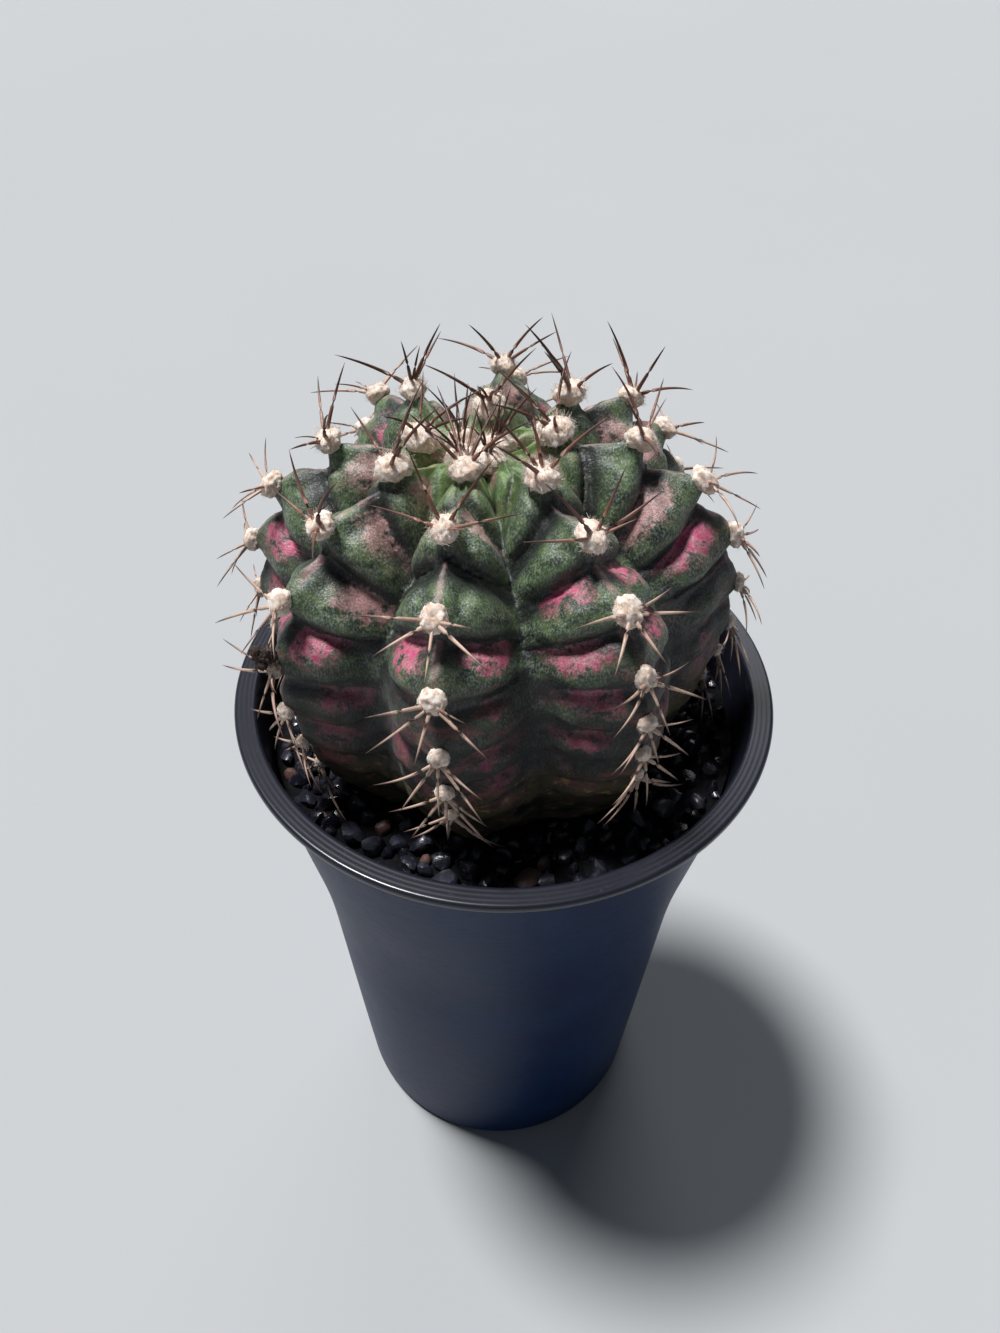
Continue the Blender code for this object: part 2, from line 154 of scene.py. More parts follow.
# Wool pads by their areole's angle: radius and height as shares of a full-grown pad's
PAD_ANGLES = (-30.0, -13.0, 8.0, 24.0, 38.0, 53.0, 68.0, 88.0)
PAD_RADII = (0.42, 0.52, 0.74, 0.88, 1.0, 0.92, 1.18, 1.12)
PAD_HEIGHTS = (0.45, 0.55, 0.80, 0.95, 1.0, 1.05, 1.25, 1.2)
WEAR_ANGLES = (-10.0, 10.0, 40.0, 60.0)
PAD_WEAR = (0.5, 1.0, 0.5, 0.0)
PIT_DEPTH = 0.42
PIT_WIDTH = 0.30
PAD_WIDTHS = (0.86, 1.06)
PAD_LENGTHS = (0.96, 1.22)
FLOWER_SOIL = 0.8
FIBRE_SHAPES = 4
FIBRE_RINGS = 4
FIBRE_SIDES = 3
FIBRE_TILT = 0.9
FIBRE_SEED = 31
FIBRE_BENDS = (0.25, 0.7)
FIBRE_TWISTS = (-0.4, 0.4)
FIBRE_TAPER = 0.75

# Spines of an areole by its age: direction from straight down the rib, lift off the stem,
# length in millimetres and darkness
SPINE_FANS = {
    "bud": ((-150, 74, 7.5, 1.0), (160, 70, 8.0, 1.0), (-60, 72, 7.0, 0.95), (40, 76, 6.5, 1.0),
            (100, 70, 7.0, 0.95)),
    "young": ((-146, 54, 11.0, 0.85), (148, 56, 11.0, 0.9), (-78, 46, 9.5, 0.75),
              (72, 44, 10.0, 0.8), (176, 66, 7.5, 0.8)),
    "grown": ((-140, 46, 10.5, 0.72), (142, 46, 10.0, 0.75), (-92, 30, 9.5, 0.62),
              (86, 32, 9.5, 0.66), (70, 50, 5.0, 0.6)),
    "old": ((-98, 30, 8.5, 0.42), (96, 36, 6.0, 0.45), (-58, 26, 8.5, 0.25),
            (58, 26, 8.5, 0.28), (-4, 30, 7.5, 0.22)),
    "oldest": ((-76, 24, 7.2, 0.2), (72, 24, 6.2, 0.22), (-48, 22, 8.0, 0.12),
               (46, 22, 8.2, 0.15), (-4, 26, 6.5, 0.1)),
}
FAN_LIMITS = (("bud", 80.0), ("young", 60.0), ("grown", 42.0), ("old", 12.0), ("oldest", -90.0))
SPINE_ROOT = Vector((0.0, -0.4, 0.15)) * MM
SPINE_OUT = 0.6
SPINE_UNIT = 10.0
SPINE_SIDES = 8
SPINE_RINGS = 11
SPINE_BENDS = (0.08, 0.16, 0.26)
# How much single spines differ: direction, lift and spin in degrees, length, width and tone
VARY_DIRECTION = (-11, 11)
VARY_LIFT = (-6, 7)
VARY_SPIN = (-35, 35)
VARY_LENGTH = (0.86, 1.14)
VARY_WIDTH = (0.85, 1.12)
VARY_TONE = (-0.12, 0.12)

# Loose stones: shapes, and layers as height, smallest and largest radius in millimetres
# and tries
GRAVEL_TOP = 102.6 * MM
STONE_SHAPES = 7
STONE_SEED = 17
STONE_CUTS = 13
STONE_CUT_DEPTHS = (0.56, 0.84)
STONE_STRETCH = ((0.95, 1.3), (0.8, 1.0), (0.65, 0.9))
STONE_EDGE = 38.0
STONE_LAYERS = ((-0.3, 1.3, 1.8, 2600), (0.5, 1.4, 2.5, 4200))
STONE_LAYER_SEED = 41
STONE_TURN_SEED = 43
STONE_JITTER = (-0.25, 0.35)
# Closest that a stone's centre comes to the wall, the stem and another stone, in radii
WALL_SPACING = 1.05
STEM_SPACING = 0.75
STONE_SPACING = 0.80
WALL_INSET = 1.0 * MM
STEM_BAND = (-2.0 * MM, 3.0 * MM)
TONE_POWER = 2.2
BROWN_SHARE = 0.018
BROWN_TONE = 2.0
# Stones that stand out: place on the bed, radius, tone, and stretch along its long axis
STONE_ACCENTS = (
    (3.6, -32.6, 1.9, 2.0, 1.5),
    (-17.8, -23.6, 1.6, 2.0, 1.1),
    (-8.6, -32.8, 2.1, 0.9, 1.2),
    (-22.4, -24.8, 2.3, 0.95, 1.1),
    (24.5, -19.5, 2.2, 0.7, 1.2),
)
ACCENT_LIFT = 0.7 * MM
ACCENT_TILT = 0.5
ANY_TURN = 3.1

# Pot outline, its roundings and the grooves in its rim
POT_HEIGHT = 112.0 * MM
RIM_RADIUS = 42.5 * MM
BASE_RADIUS = 29.9 * MM
WALL_SLOPE = 0.053
FLARE_SLOPE = 0.16
FLARE_LOW = 60.0 * MM
FLARE_HIGH = 80.0 * MM
LOW_HEIGHTS = (20.0 * MM, 40.0 * MM)
HIGH_HEIGHT = 92.0 * MM
RIM_ROUND = 0.6 * MM
FLOOR_ROUND = 1.2 * MM
BASE_ROUND = 1.6 * MM
NECK_ROUND = 0.7 * MM
NECK_GAP = 0.9 * MM
RIM_STEPS = 12
RIM_GROOVES = 3
GROOVE_DEPTH = 0.015 * MM
DRAIN_HOLES = 5
DRAIN_RADIUS = 3.5 * MM
DRAIN_CIRCLE = 18.0 * MM
DRILL_SIDES = 32
DRILL_DEPTH = 6.0 * MM
SEAM_GAP = 0.01 * MM
POT_EDGE = 50.0

# Dried flower: its areole, its lumps in the areole's frame in millimetres as place, radius
# and height, and its petals
FLOWER_RIB = "front_left"
FLOWER_AREOLE = 4
FLOWER_SEED = 9
FLOWER_KNOTS = ((0.0, 0.0, 0.3, 1.1, 1.0), (0.1, 0.3, 1.3, 1.3, 1.0), (-0.3, 1.1, 1.9, 0.9, 0.8),
                (0.7, -0.5, 1.7, 0.8, 0.7))
FLOWER_PLACE = Vector((0.0, 2.3, 0.2)) * MM
PETAL_COUNT = 7
PETAL_STEPS = 8
PETAL_START = 1.8 * MM
PETAL_CIRCLE = 0.45
PETAL_BEND = 0.1
PETAL_THICKNESS = 0.10 * MM
PETAL_LENGTHS = (0.9, 1.6)
PETAL_WIDTHS = (0.5, 0.8)
PETAL_CURLS = (1.4, 2.6)
PETAL_LEANS = (-0.5, 0.5)

# Camera: the photograph's viewing angle, for an image of 1000 by 1333
CAMERA_PLACE = Vector((-0.7, -112.2, 226.2)) * MM
CAMERA_PITCH = 45.0
CAMERA_ROLL = 0.79
CAMERA_FOCAL_PIXELS = 1000.0
IMAGE_HEIGHT = 1333.0
SENSOR = 36.0

# Stage: towards the soft lights, and the floor's gap under the pot
KEY_DIRECTION = (-0.30, 0.16, 0.94)
FILL_DIRECTION = (0.12, 0.85, 0.52)
FLOOR_GAP = 0.2 * MM
FLOOR_SEGMENTS = 96


# Nodes

class Socket:
    """A node's output in an expression. Arithmetic on it adds Math nodes to its tree."""

    def __init__(self, graph, output):
        self.graph = graph
        self.output = output

    def maths(self, operation, first, second):
        return self.graph.node("ShaderNodeMath", {"operation": operation}, {0: first, 1: second})

    def __add__(self, other):
        return self.maths("ADD", self, other)

    def __sub__(self, other):
        return self.maths("SUBTRACT", self, other)

    def __rsub__(self, other):
        return self.maths("SUBTRACT", other, self)

    def __mul__(self, other):
        return self.maths("MULTIPLY", self, other)

    def __truediv__(self, other):
        return self.maths("DIVIDE", self, other)

    def __rtruediv__(self, other):
        return self.maths("DIVIDE", other, self)

    def __pow__(self, other):
        return self.maths("POWER", self, other)

    __radd__ = __add__
    __rmul__ = __mul__

    def __abs__(self):
        return self.graph.node("ShaderNodeMath", {"operation": "ABSOLUTE"}, {0: self})

    def step(self, low, high):
        """0 below low, 1 above high and smooth between, or falling where low is above high."""
        settings = {"interpolation_type": "SMOOTHSTEP"}
        if low < high:
            return self.graph.node("ShaderNodeMapRange", settings, {0: self, 1: low, 2: high})
        return 1.0 - self.step(high, low)

    def sibling(self, name):
        """Another output of the same node."""
        return Socket(self.graph, self.graph.find(self.output.node.outputs, name))


class Graph:
    """Adds nodes to one node tree."""

    def __init__(self, tree):
        self.tree = tree

    def find(self, sockets, key):
        if isinstance(key, int):
            return sockets[key]
        return next(s for s in sockets if s.name == key and s.enabled)

    def node(self, kind, settings=None, inputs=None, output=0):
        """A node of a type, its settings and its sockets' values or links; gives one output."""
        node = self.tree.nodes.new(kind)
        for name, value in (settings or {}).items():
            setattr(node, name, value)
        for key, value in (inputs or {}).items():
            socket = self.find(node.inputs, key)
            for single in value if isinstance(value, list) else [value]:
                if isinstance(single, Socket):
                    self.tree.links.new(single.output, socket)
                else:
                    socket.default_value = single
        return Socket(self, self.find(node.outputs, output)) if len(node.outputs) else None

    def layers(self, colour, *coats):
        """A colour under coats, each given as its colour and the share of it that shows."""
        for coat, share in coats:
            ends = [c if isinstance(c, Socket) else (*c, 1.0) for c in (colour, coat)]
            values = {0: share, 6: ends[0], 7: ends[1]}
            colour = self.node("ShaderNodeMix", {"data_type": "RGBA"}, values, 2)
        return colour

    def place(self, stretch=(1.0, 1.0, 1.0)):
        """The object's own coordinates, stretched."""
        coordinates = self.node("ShaderNodeTexCoord", output="Object")
        return self.node("ShaderNodeMapping", {}, {"Vector": coordinates, "Scale": stretch})

    def cloud(self, place, size, detail=3.0, roughness=0.55):
        """Noise whose features are about as large as size, in metres."""
        values = {"Vector": place, "Scale": 1.0 / size, "Detail": detail, "Roughness": roughness}
        return self.node("ShaderNodeTexNoise", {}, values)

    def attribute(self, name):
        return self.node("ShaderNodeAttribute", {"attribute_name": name}, output="Fac")

    def bump(self, height, strength, distance, normal=None):
        values = {"Strength": strength, "Distance": distance, "Height": height}
        if normal is not None:
            values["Normal"] = normal
        return self.node("ShaderNodeBump", {}, values)

    def surface(self, colour, roughness, normal, **fixed):
        """A Principled BSDF; fixed values are named like its sockets, with _ for a space."""
        values = {"Base Color": colour, "Roughness": roughness, "Normal": normal}
        for name, value in fixed.items():
            values[name.replace("_", " ")] = value
        return self.node("ShaderNodeBsdfPrincipled", {}, values)


def make_material(name, paint, look):
    """A material whose nodes are added by paint(graph, look)."""
    material = bpy.data.materials.new(name)
    material.use_nodes = True
    material.node_tree.nodes.clear()
    graph = Graph(material.node_tree)
    graph.node("ShaderNodeOutputMaterial", {}, {"Surface": paint(graph, look)})
    return material


def paint_plastic(graph, look):
    """Satin blue plastic with haze, dust and fine scratches, charcoal on its rim, and painted shade
    darkening its upper inner wall.
    """
    place = graph.place()
    haze = graph.cloud(place, 14.0 * MM, 4.0)
    dust = graph.cloud(place, 0.7 * MM, 3.0, 0.7).step(0.62, 0.74)
    scratch = graph.cloud(graph.place((1.0, 1.0, 14.0)), 3.0 * MM, 3.0, 0.7)
    height = graph.node("ShaderNodeSeparateXYZ", {}, {"Vector": place}, "Z")
    radius = (height.sibling("X") ** 2.0 + height.sibling("Y") ** 2.0) ** 0.5
    low = height.step(14.0 * MM, 2.0 * MM)
    rim = height.step(109.6 * MM, 110.8 * MM)
    # Painted shade: the upper inner wall gets the rim's dark colour, standing in for the shade
    # inside the pot
    inner_wall_shade = (radius - FLARE_SLOPE * height).step(22.05 * MM, 21.75 * MM)
    colour = graph.layers(
        look.wall_colour,
        (look.wall_light, haze.step(0.35, 0.75) * 0.6),
        (look.rim_and_inner_shade_colour, rim + inner_wall_shade * height.step(80 * MM, 84 * MM)),
        (look.dust_colour, dust * (0.008 + 0.05 * low + 0.08 * rim)))
    roughness = 0.34 + 0.12 * haze + 0.10 * scratch.step(0.5, 0.7) + 0.1 * dust
    normal = graph.bump(scratch, 0.08, 0.05 * MM)
    normal = graph.bump(graph.cloud(place, 0.35 * MM, 2.0), 0.10, 0.05 * MM, normal)
    return graph.surface(colour, roughness, normal, Specular_IOR_Level=0.10,
                         Coat_Weight=rim * (0.55 + 0.35 * haze), Coat_Roughness=0.24)


def paint_skin(graph, look):
    """Papillate green skin with magenta and pale hollows, brown and corky towards the foot."""
    names = ("across", "hollow", "top", "spot", "rise", "patch", "crease", "swell")
    across, hollow, top, spot, rise, patch, crease, swell = map(graph.attribute, names)
    place = graph.place()
    cloud = graph.cloud(place, 4.5 * MM)
    blotch = graph.cloud(graph.place((1.0, 1.0, 1.7)), 2.4 * MM, 4.0, 0.6)
    mottle = graph.cloud(place, 1.1 * MM, 3.0, 0.6)
    grain = graph.cloud(graph.place((1.0, 1.0, 0.5)), 0.26 * MM, 3.0, 0.65)
    dots = graph.cloud(place, 0.50 * MM, 3.0, 0.7)
    hair = grain.step(0.44, 0.66)
    wide, middling, small = cloud - 0.5, blotch - 0.5, mottle - 0.5

    # Green, darker as painted shade where the skin swells least, lighter as painted light on the
    # tops of the tubercles, and fresh in the crown
    # Painted shade: less mid green and more dark green where the skin swells least, in the valleys
    # and hollows
    shade = (0.30 + 0.60 * mottle.step(0.28, 0.72)) * swell.step(0.05, 0.85)
    youth = (rise + 0.10 * wide).step(0.85, 0.96)
    green = graph.layers(
        look.green_dark,
        (look.green_mid, shade),
        (look.green_dark, cloud.step(0.60, 0.36) * 0.65),
        # Painted light: light green on the upward-facing tops of the tubercles, where the light
        # falls
        (look.green_painted_light, top * blotch.step(0.34, 0.66) * 0.90),
        (look.green_young, youth * (0.45 + 0.55 * mottle)))

    # Torn pink patches in the hollows of some flanks, paler near the crown
    wander = hollow + 0.5 * wide + 0.7 * middling + 0.25 * small
    deep = (wander + 0.35 * (grain - 0.5)).step(0.08, 0.62)
    away = abs(across - (0.26 + 0.44 * spot))
    flank = (away + 0.7 * middling + 0.5 * wide).step(0.50, 0.06)
    flank = flank * across.step(0.07, 0.16) * across.step(0.98, 0.85)
    chance = (patch + 0.9 * wide).step(0.16, 0.50)
    torn = (blotch + 0.25 * small).step(0.24, 0.66)
    mask = deep * flank * chance * torn
    mask = (mask + 0.9 * (dots - 0.5) * mask.step(0.0, 0.3)).step(0.04, 0.62)
    pale = (rise + 0.25 * (patch - 0.5)).step(0.72, 0.86)
    pink = graph.layers(
        look.pink,
        (look.magenta, (mottle + 0.5 * middling).step(0.42, 0.66)),
        (look.blush, pale),
        (look.green_mid, (1.0 - hair) * (0.20 + 0.30 * pale)),
        (look.green_dark, mottle.step(0.50, 0.34) * (0.45 - 0.3 * pale)))
    bloom = pale * blotch.step(0.44, 0.64) * across.step(0.10, 0.35) * (0.25 + 0.75 * hair)
    line = across.step(0.07, 0.02) * wander.step(0.05, 0.35) * cloud.step(0.36, 0.60)

    # Old skin, near-black towards the foot as aged skin and partly painted shade, with painted
    # shade in the valleys, rusty bands, and an olive and corky foot
    age = (rise + 0.14 * wide + 0.05 * across).step(0.70, 0.53)
    # Painted shade: the broad valleys by the furrows of the lower stem
    painted_valley_shade = age * across.step(0.42, 0.90)
    bands = graph.cloud(graph.place((0.30, 0.30, 1.5)), 2.4 * MM).step(0.50, 0.66)
    olive = (rise + 0.08 * small).step(0.46, 0.36)
    corky = (rise + 0.16 * small).step(0.46, 0.38) * blotch.step(0.58, 0.66)
    # Whitish papillae, partly real texture and partly painted sheen, strongest on the tops of the
    # tubercles where the light falls
    shine = hair * (1.0 - 0.9 * age) * (0.20 + 0.80 * top)
    colour = graph.layers(
        green,
        (pink, mask * (0.96 - 0.22 * pale)),
        (look.blush, bloom * cloud.step(0.36, 0.60) * 0.30),
        (look.blush, line * (0.10 + 0.45 * mottle)),
        (look.aged_skin_and_shade, age * (0.88 - 0.24 * mask)),
        (look.rust, bands * age * (0.60 - 0.35 * painted_valley_shade)),
        (look.aged_skin_and_shade, painted_valley_shade * 0.6),
        (look.olive, olive * cloud.step(0.30, 0.55) * 0.85),
        (look.cork, corky * 0.8),
        # Painted shade in the creases and under the tubercles
        (look.green_dark, crease * 0.9),
        (look.papillae_and_sheen, shine * 0.40))
    roughness = 0.44 + 0.16 * mottle - 0.16 * hair + 0.20 * age
    normal = graph.bump(mottle, 0.40, 0.25 * MM)
    normal = graph.bump(grain, 0.80, 0.16 * MM, normal)
    return graph.surface(colour, roughness, normal, Specular_IOR_Level=0.75, Sheen_Weight=0.05,
                         Sheen_Roughness=0.4, Subsurface_Weight=0.03,
                         Subsurface_Radius=(0.002, 0.002, 0.001), Subsurface_Scale=0.5)


def paint_wool(graph, look):
    """Cream felt, browner and dirtier in its hollows and on the old pads, with painted shade on the
    side against the stem.
    """
    place = graph.place()
    worn = graph.attribute("worn")
    clump = graph.cloud(place, 0.9 * MM, 3.0, 0.6)
    thread = graph.cloud(place, 0.16 * MM, 2.0, 0.7)
    dirt_and_shade = worn * clump.step(0.40, 0.66) + worn.step(0.85, 1.0) * 0.6
    colour = graph.layers(
        look.wool_light,
        (look.wool_cream, clump.step(0.36, 0.64)),
        (look.wool_brown, dirt_and_shade * 0.75),
        (look.wool_light, thread.step(0.5, 0.7) * 0.4))
    normal = graph.bump(thread, 0.7, 0.10 * MM, graph.bump(clump, 0.4, 0.3 * MM))
    return graph.surface(colour, 0.82 + 0.1 * thread, normal, Sheen_Weight=0.5,
                         Sheen_Roughness=0.4, Specular_IOR_Level=0.25, Subsurface_Weight=0.15,
                         Subsurface_Radius=(0.002, 0.0014, 0.001), Subsurface_Scale=0.4)


def paint_spine(graph, look):
    """Horn: pale or red-brown shaft by age, dark towards the tip, with faint growth rings."""
    along, tone = map(graph.attribute, ("along", "tone"))
    place = graph.place()
    fleck = graph.cloud(place, 0.5 * MM, 3.0, 0.6)
    rings = graph.cloud(place, 0.9 * MM, 2.0).step(0.55, 0.7)
    colour = graph.layers(
        look.spine_pale,
        (look.spine_red, (tone + 0.3 * (fleck - 0.5)).step(0.25, 0.7)),
        (look.spine_dark, tone.step(0.62, 1.0) * 0.8),
        (look.spine_red, rings * 0.35),
        (look.spine_dark, (along + 0.25 * tone).step(0.62, 0.98) * 0.9),
        (look.spine_pale, along.step(0.16, 0.02) * 0.4))
    normal = graph.bump(fleck, 0.3, 0.06 * MM)
    return graph.surface(colour, 0.36 + 0.2 * fleck, normal, Specular_IOR_Level=0.5)


def paint_stone(graph, look):
    """Glossy black stones with dusty faces, a few of them brown or grey."""
    place = graph.place()
    tone = graph.attribute("tone")
    vein = graph.cloud(place, 1.6 * MM, 4.0, 0.6)
    speck = graph.cloud(place, 0.3 * MM, 2.0, 0.6)
    colour = graph.layers(
        look.stone_black,
        (look.stone_grey, tone.step(0.25, 0.85) * 0.7),
        (look.stone_dust, vein.step(0.52, 0.68) * 0.16),
        (look.stone_brown, tone.step(1.4, 1.6) * (0.55 + 0.45 * vein)),
        (look.stone_dust, speck.step(0.66, 0.74) * 0.25))
    roughness = 0.12 + 0.26 * vein + 0.12 * tone
    normal = graph.bump(speck, 0.35, 0.10 * MM, graph.bump(vein, 0.35, 0.4 * MM))
    return graph.surface(colour, roughness, normal, Specular_IOR_Level=0.6)


def paint_gravel_bed(graph, look):
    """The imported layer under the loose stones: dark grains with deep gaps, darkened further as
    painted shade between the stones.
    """
    place = graph.place()
    cells = graph.node("ShaderNodeTexVoronoi", {}, {"Vector": place, "Scale": 1.0 / (2.4 * MM)})
    shade = graph.cloud(place, 1.2 * MM)
    colour = graph.layers(look.bed_black_and_shade, (look.stone_black, shade.step(0.4, 0.8)))
    normal = graph.bump(1.0 - cells, 0.9, 1.2 * MM)
    return graph.surface(colour, 0.65 + 0.3 * shade, normal, Specular_IOR_Level=0.15)


def paint_mix(graph, look):
    """Dark crumbly potting mix with pale specks."""
    place = graph.place()
    crumb = graph.cloud(place, 1.4 * MM, 4.0, 0.65)
    speck = graph.cloud(place, 0.8 * MM, 2.0).step(0.66, 0.72)
    colour = graph.layers(look.mix_dark, (look.mix_brown, crumb.step(0.35, 0.7)),
                          (look.mix_speck, speck * 0.5))
    return graph.surface(colour, 0.85 + 0.1 * crumb, graph.bump(crumb, 0.8, 0.8 * MM))


def paint_flower(graph, look):
    """Dry petals and tube: near-black brown with paler papery edges."""
    fold = graph.cloud(graph.place((1.0, 1.0, 0.4)), 0.8 * MM, 3.0, 0.6)
    speck = graph.cloud(graph.place(), 0.25 * MM, 2.0)
    colour = graph.layers(look.flower_dark, (look.flower_brown, fold.step(0.40, 0.68)),
                          (look.flower_edge, speck.step(0.58, 0.70) * 0.4))
    return graph.surface(colour, 0.7 + 0.2 * fold, graph.bump(fold, 0.6, 0.3 * MM))


def paint_floor(graph, look):
    """Pale matt floor with a barely visible cloudiness."""
    cloud = graph.cloud(graph.place(), 0.35, 4.0)
    colour = graph.layers(look.floor_colour, (look.floor_light, cloud))
    return graph.surface(colour, 0.85 + 0.05 * cloud, graph.bump(cloud, 0.02, 0.01))


# Geometry node trees

def new_tree(name, *inputs):
    """A geometry tree with named inputs, the last a material; its graph and group's inputs."""
    tree = bpy.data.node_groups.new(name, "GeometryNodeTree")
    for way in ("INPUT", "OUTPUT"):
        tree.interface.new_socket("Geometry", in_out=way, socket_type="NodeSocketGeometry")
    for label, kind, *default in (*inputs, ("Material", "Material")):
        socket = tree.interface.new_socket(label, in_out="INPUT", socket_type=f"NodeSocket{kind}")
        if default:
            socket.default_value = default[0]
    graph = Graph(tree)
    return graph, graph.node("NodeGroupInput")


def close_tree(graph, group, geometry):
    """Ends a tree in Realize Instances and Set Material."""
    real = graph.node("GeometryNodeRealizeInstances", {}, {"Geometry": geometry})
    painted = graph.node("GeometryNodeSetMaterial", {},
                         {"Geometry": real, "Material": group.sibling("Material")})
    graph.node("NodeGroupOutput", {}, {"Geometry": painted})
    return graph.tree


def grow(obj, tree, values):
    """Runs a tree on an object with its inputs' values and leaves a plain mesh."""
    modifier = obj.modifiers.new(tree.name, "NODES")
    modifier.node_group = tree
    names = {s.name: s.identifier for s in tree.interface.items_tree if s.in_out == "INPUT"}
    for label, value in values.items():
        modifier[names[label]] = value
    bpy.context.view_layer.update()
    depsgraph = bpy.context.evaluated_depsgraph_get()
    mesh = bpy.data.meshes.new_from_object(obj.evaluated_get(depsgraph))
    mesh.name = obj.name
    obj.modifiers.clear()
    old = obj.data
    obj.data = mesh
    bpy.data.meshes.remove(old)


def named(graph, name, kind="FLOAT"):
    return graph.node("GeometryNodeInputNamedAttribute", {"data_type": kind}, {"Name": name},
                      "Attribute")


def rotation(graph, angles):
    return graph.node("FunctionNodeEulerToRotation", {}, {0: angles})


def scaled(graph, vector, factor):
    return graph.node("ShaderNodeVectorMath", {"operation": "SCALE"}, {0: vector, 3: factor})


def instances(graph, group, points, **values):
    """Shapes of the tree's collection on points, picked one by one."""
    shapes = graph.node("GeometryNodeCollectionInfo", {},
                        {"Collection": group.sibling("Shapes"), "Separate Children": True,
                         "Reset Children": True})
    return graph.node("GeometryNodeInstanceOnPoints", {},
                      {"Points": points, "Instance": shapes, "Pick Instance": True, **values})


def scatter_tree():
    """Instances of picked shapes on guide points, turned and sized by the points' attributes."""
    graph, group = new_tree("scatter", ("Shapes", "Collection"), ("Size", "Float", 1.0))
    size = scaled(graph, named(graph, "size", "FLOAT_VECTOR"), group.sibling("Size"))
    turn = rotation(graph, named(graph, "turn", "FLOAT_VECTOR"))
    pick = {"Instance Index": named(graph, "pick", "INT")}
    points = graph.node("GeometryNodeMeshToPoints", {}, {"Mesh": group})
    made = instances(graph, group, points, Rotation=turn, Scale=size, **pick)
    return close_tree(graph, group, made)


def fur_tree():
    """Wool: the pads' own surface and bent fibres spread over it."""
    graph, group = new_tree("fur", ("Shapes", "Collection"), ("Density", "Float", 3.0e6),
                            ("Length", "Float", 1.0), ("Tilt", "Float", 1.0), ("Seed", "Int", 1))
    fluff = named(graph, "fluff")
    seed = group.sibling("Seed")
    spread = graph.node("GeometryNodeDistributePointsOnFaces", {"distribute_method": "RANDOM"},
                        {"Mesh": group, "Density": group.sibling("Density") * fluff, "Seed": seed})
    swing = graph.node("FunctionNodeRandomValue", {"data_type": "FLOAT_VECTOR"},
                       {"Min": (-1.0, -1.0, 0.0), "Max": (1.0, 1.0, 2.0 * math.pi), "Seed": seed})
    swing = rotation(graph, scaled(graph, swing, group.sibling("Tilt")))
    turn = graph.node("FunctionNodeRotateRotation", {"rotation_space": "LOCAL"},
                      {"Rotation": spread.sibling("Rotation"), "Rotate By": swing})
    share = graph.node("FunctionNodeRandomValue", {"data_type": "FLOAT"},
                       {"Min": 0.45, "Max": 1.15, "Seed": seed}, "Value")
    stretch = share * group.sibling("Length") * fluff
    fibres = instances(graph, group, spread, Rotation=turn, Scale=stretch)
    joined = graph.node("GeometryNodeJoinGeometry", {}, {"Geometry": [group, fibres]})
    return close_tree(graph, group, joined)


def lathe_tree():
    """A turned wall from an outline in the XZ plane, with a circle of holes cut through it."""
    graph, group = new_tree("lathe", ("Steps", "Int", 192), ("Holes", "Int", DRAIN_HOLES),
                            ("Hole Radius", "Float", DRAIN_RADIUS),
                            ("Hole Circle", "Float", DRAIN_CIRCLE))
    outline = graph.node("GeometryNodeMeshToCurve", {}, {"Mesh": group})
    ring = graph.node("GeometryNodeCurvePrimitiveCircle", {},
                      {"Resolution": group.sibling("Steps"), "Radius": 1.0})
    wall = graph.node("GeometryNodeCurveToMesh", {}, {"Curve": ring, "Profile Curve": outline})
    merged = graph.node("GeometryNodeMergeByDistance", {}, {"Geometry": wall, "Distance": SEAM_GAP})
    spots = graph.node("GeometryNodeMeshCircle", {}, {"Vertices": group.sibling("Holes"),
                                                      "Radius": group.sibling("Hole Circle")})
    drill = graph.node("GeometryNodeMeshCylinder", {},
                       {"Vertices": DRILL_SIDES, "Depth": DRILL_DEPTH,
                        "Radius": group.sibling("Hole Radius")})
    drills = graph.node("GeometryNodeInstanceOnPoints", {}, {"Points": spots, "Instance": drill})
    drills = graph.node("GeometryNodeRealizeInstances", {}, {"Geometry": drills})
    half_step = (0.0, 0.0, math.radians(180.0 / DRAIN_HOLES))
    drills = graph.node("GeometryNodeTransform", {}, {"Geometry": drills, "Rotation": half_step})
    cut = graph.node("GeometryNodeMeshBoolean", {"operation": "DIFFERENCE", "solver": "EXACT"},
                     {"Mesh 1": merged, "Mesh 2": [drills]})
    return close_tree(graph, group, cut)


# Meshes and objects

def rough(point, octaves=3, decay=0.7):
    """Fractal noise, each octave twice as fine as the last."""
    return noise.fractal(point, decay, 2.0, octaves)


def shares(count):
    """That many even shares from 0 to 1."""
    return [i / (count - 1) for i in range(count)]


def level(degrees):
    """The level direction at an azimuth from the front."""
    angle = math.radians(degrees)
    return Vector((math.sin(angle), -math.cos(angle), 0.0))


def random_vector(rng, reach):
    return Vector((rng.uniform(0, reach), rng.uniform(0, reach), rng.uniform(0, reach)))


def grid_faces(rows, columns):
    """Quads of a grid that closes on itself across its columns."""
    faces = []
    for i in range(rows - 1):
        for j in range(columns):
            k = (j + 1) % columns
            faces.append((i * columns + j, i * columns + k,
                          (i + 1) * columns + k, (i + 1) * columns + j))
    return faces


def new_mesh(name, vertices, edges=(), faces=()):
    mesh = bpy.data.meshes.new(name)
    mesh.from_pydata(vertices, edges, faces)
    return mesh


def mesh_from(shape, name):
    """A mesh from a bmesh, which is freed."""
    mesh = bpy.data.meshes.new(name)
    shape.to_mesh(mesh)
    shape.free()
    return mesh


def add_field(mesh, name, values, kind="FLOAT"):
    field = mesh.attributes.new(name, kind, "POINT")
    key = "vector" if kind == "FLOAT_VECTOR" else "value"
    field.data.foreach_set(key, np.asarray(values).ravel())


def new_object(name, data, collection=None):
    obj = bpy.data.objects.new(name, data)
    (collection or bpy.context.scene.collection).objects.link(obj)
    return obj


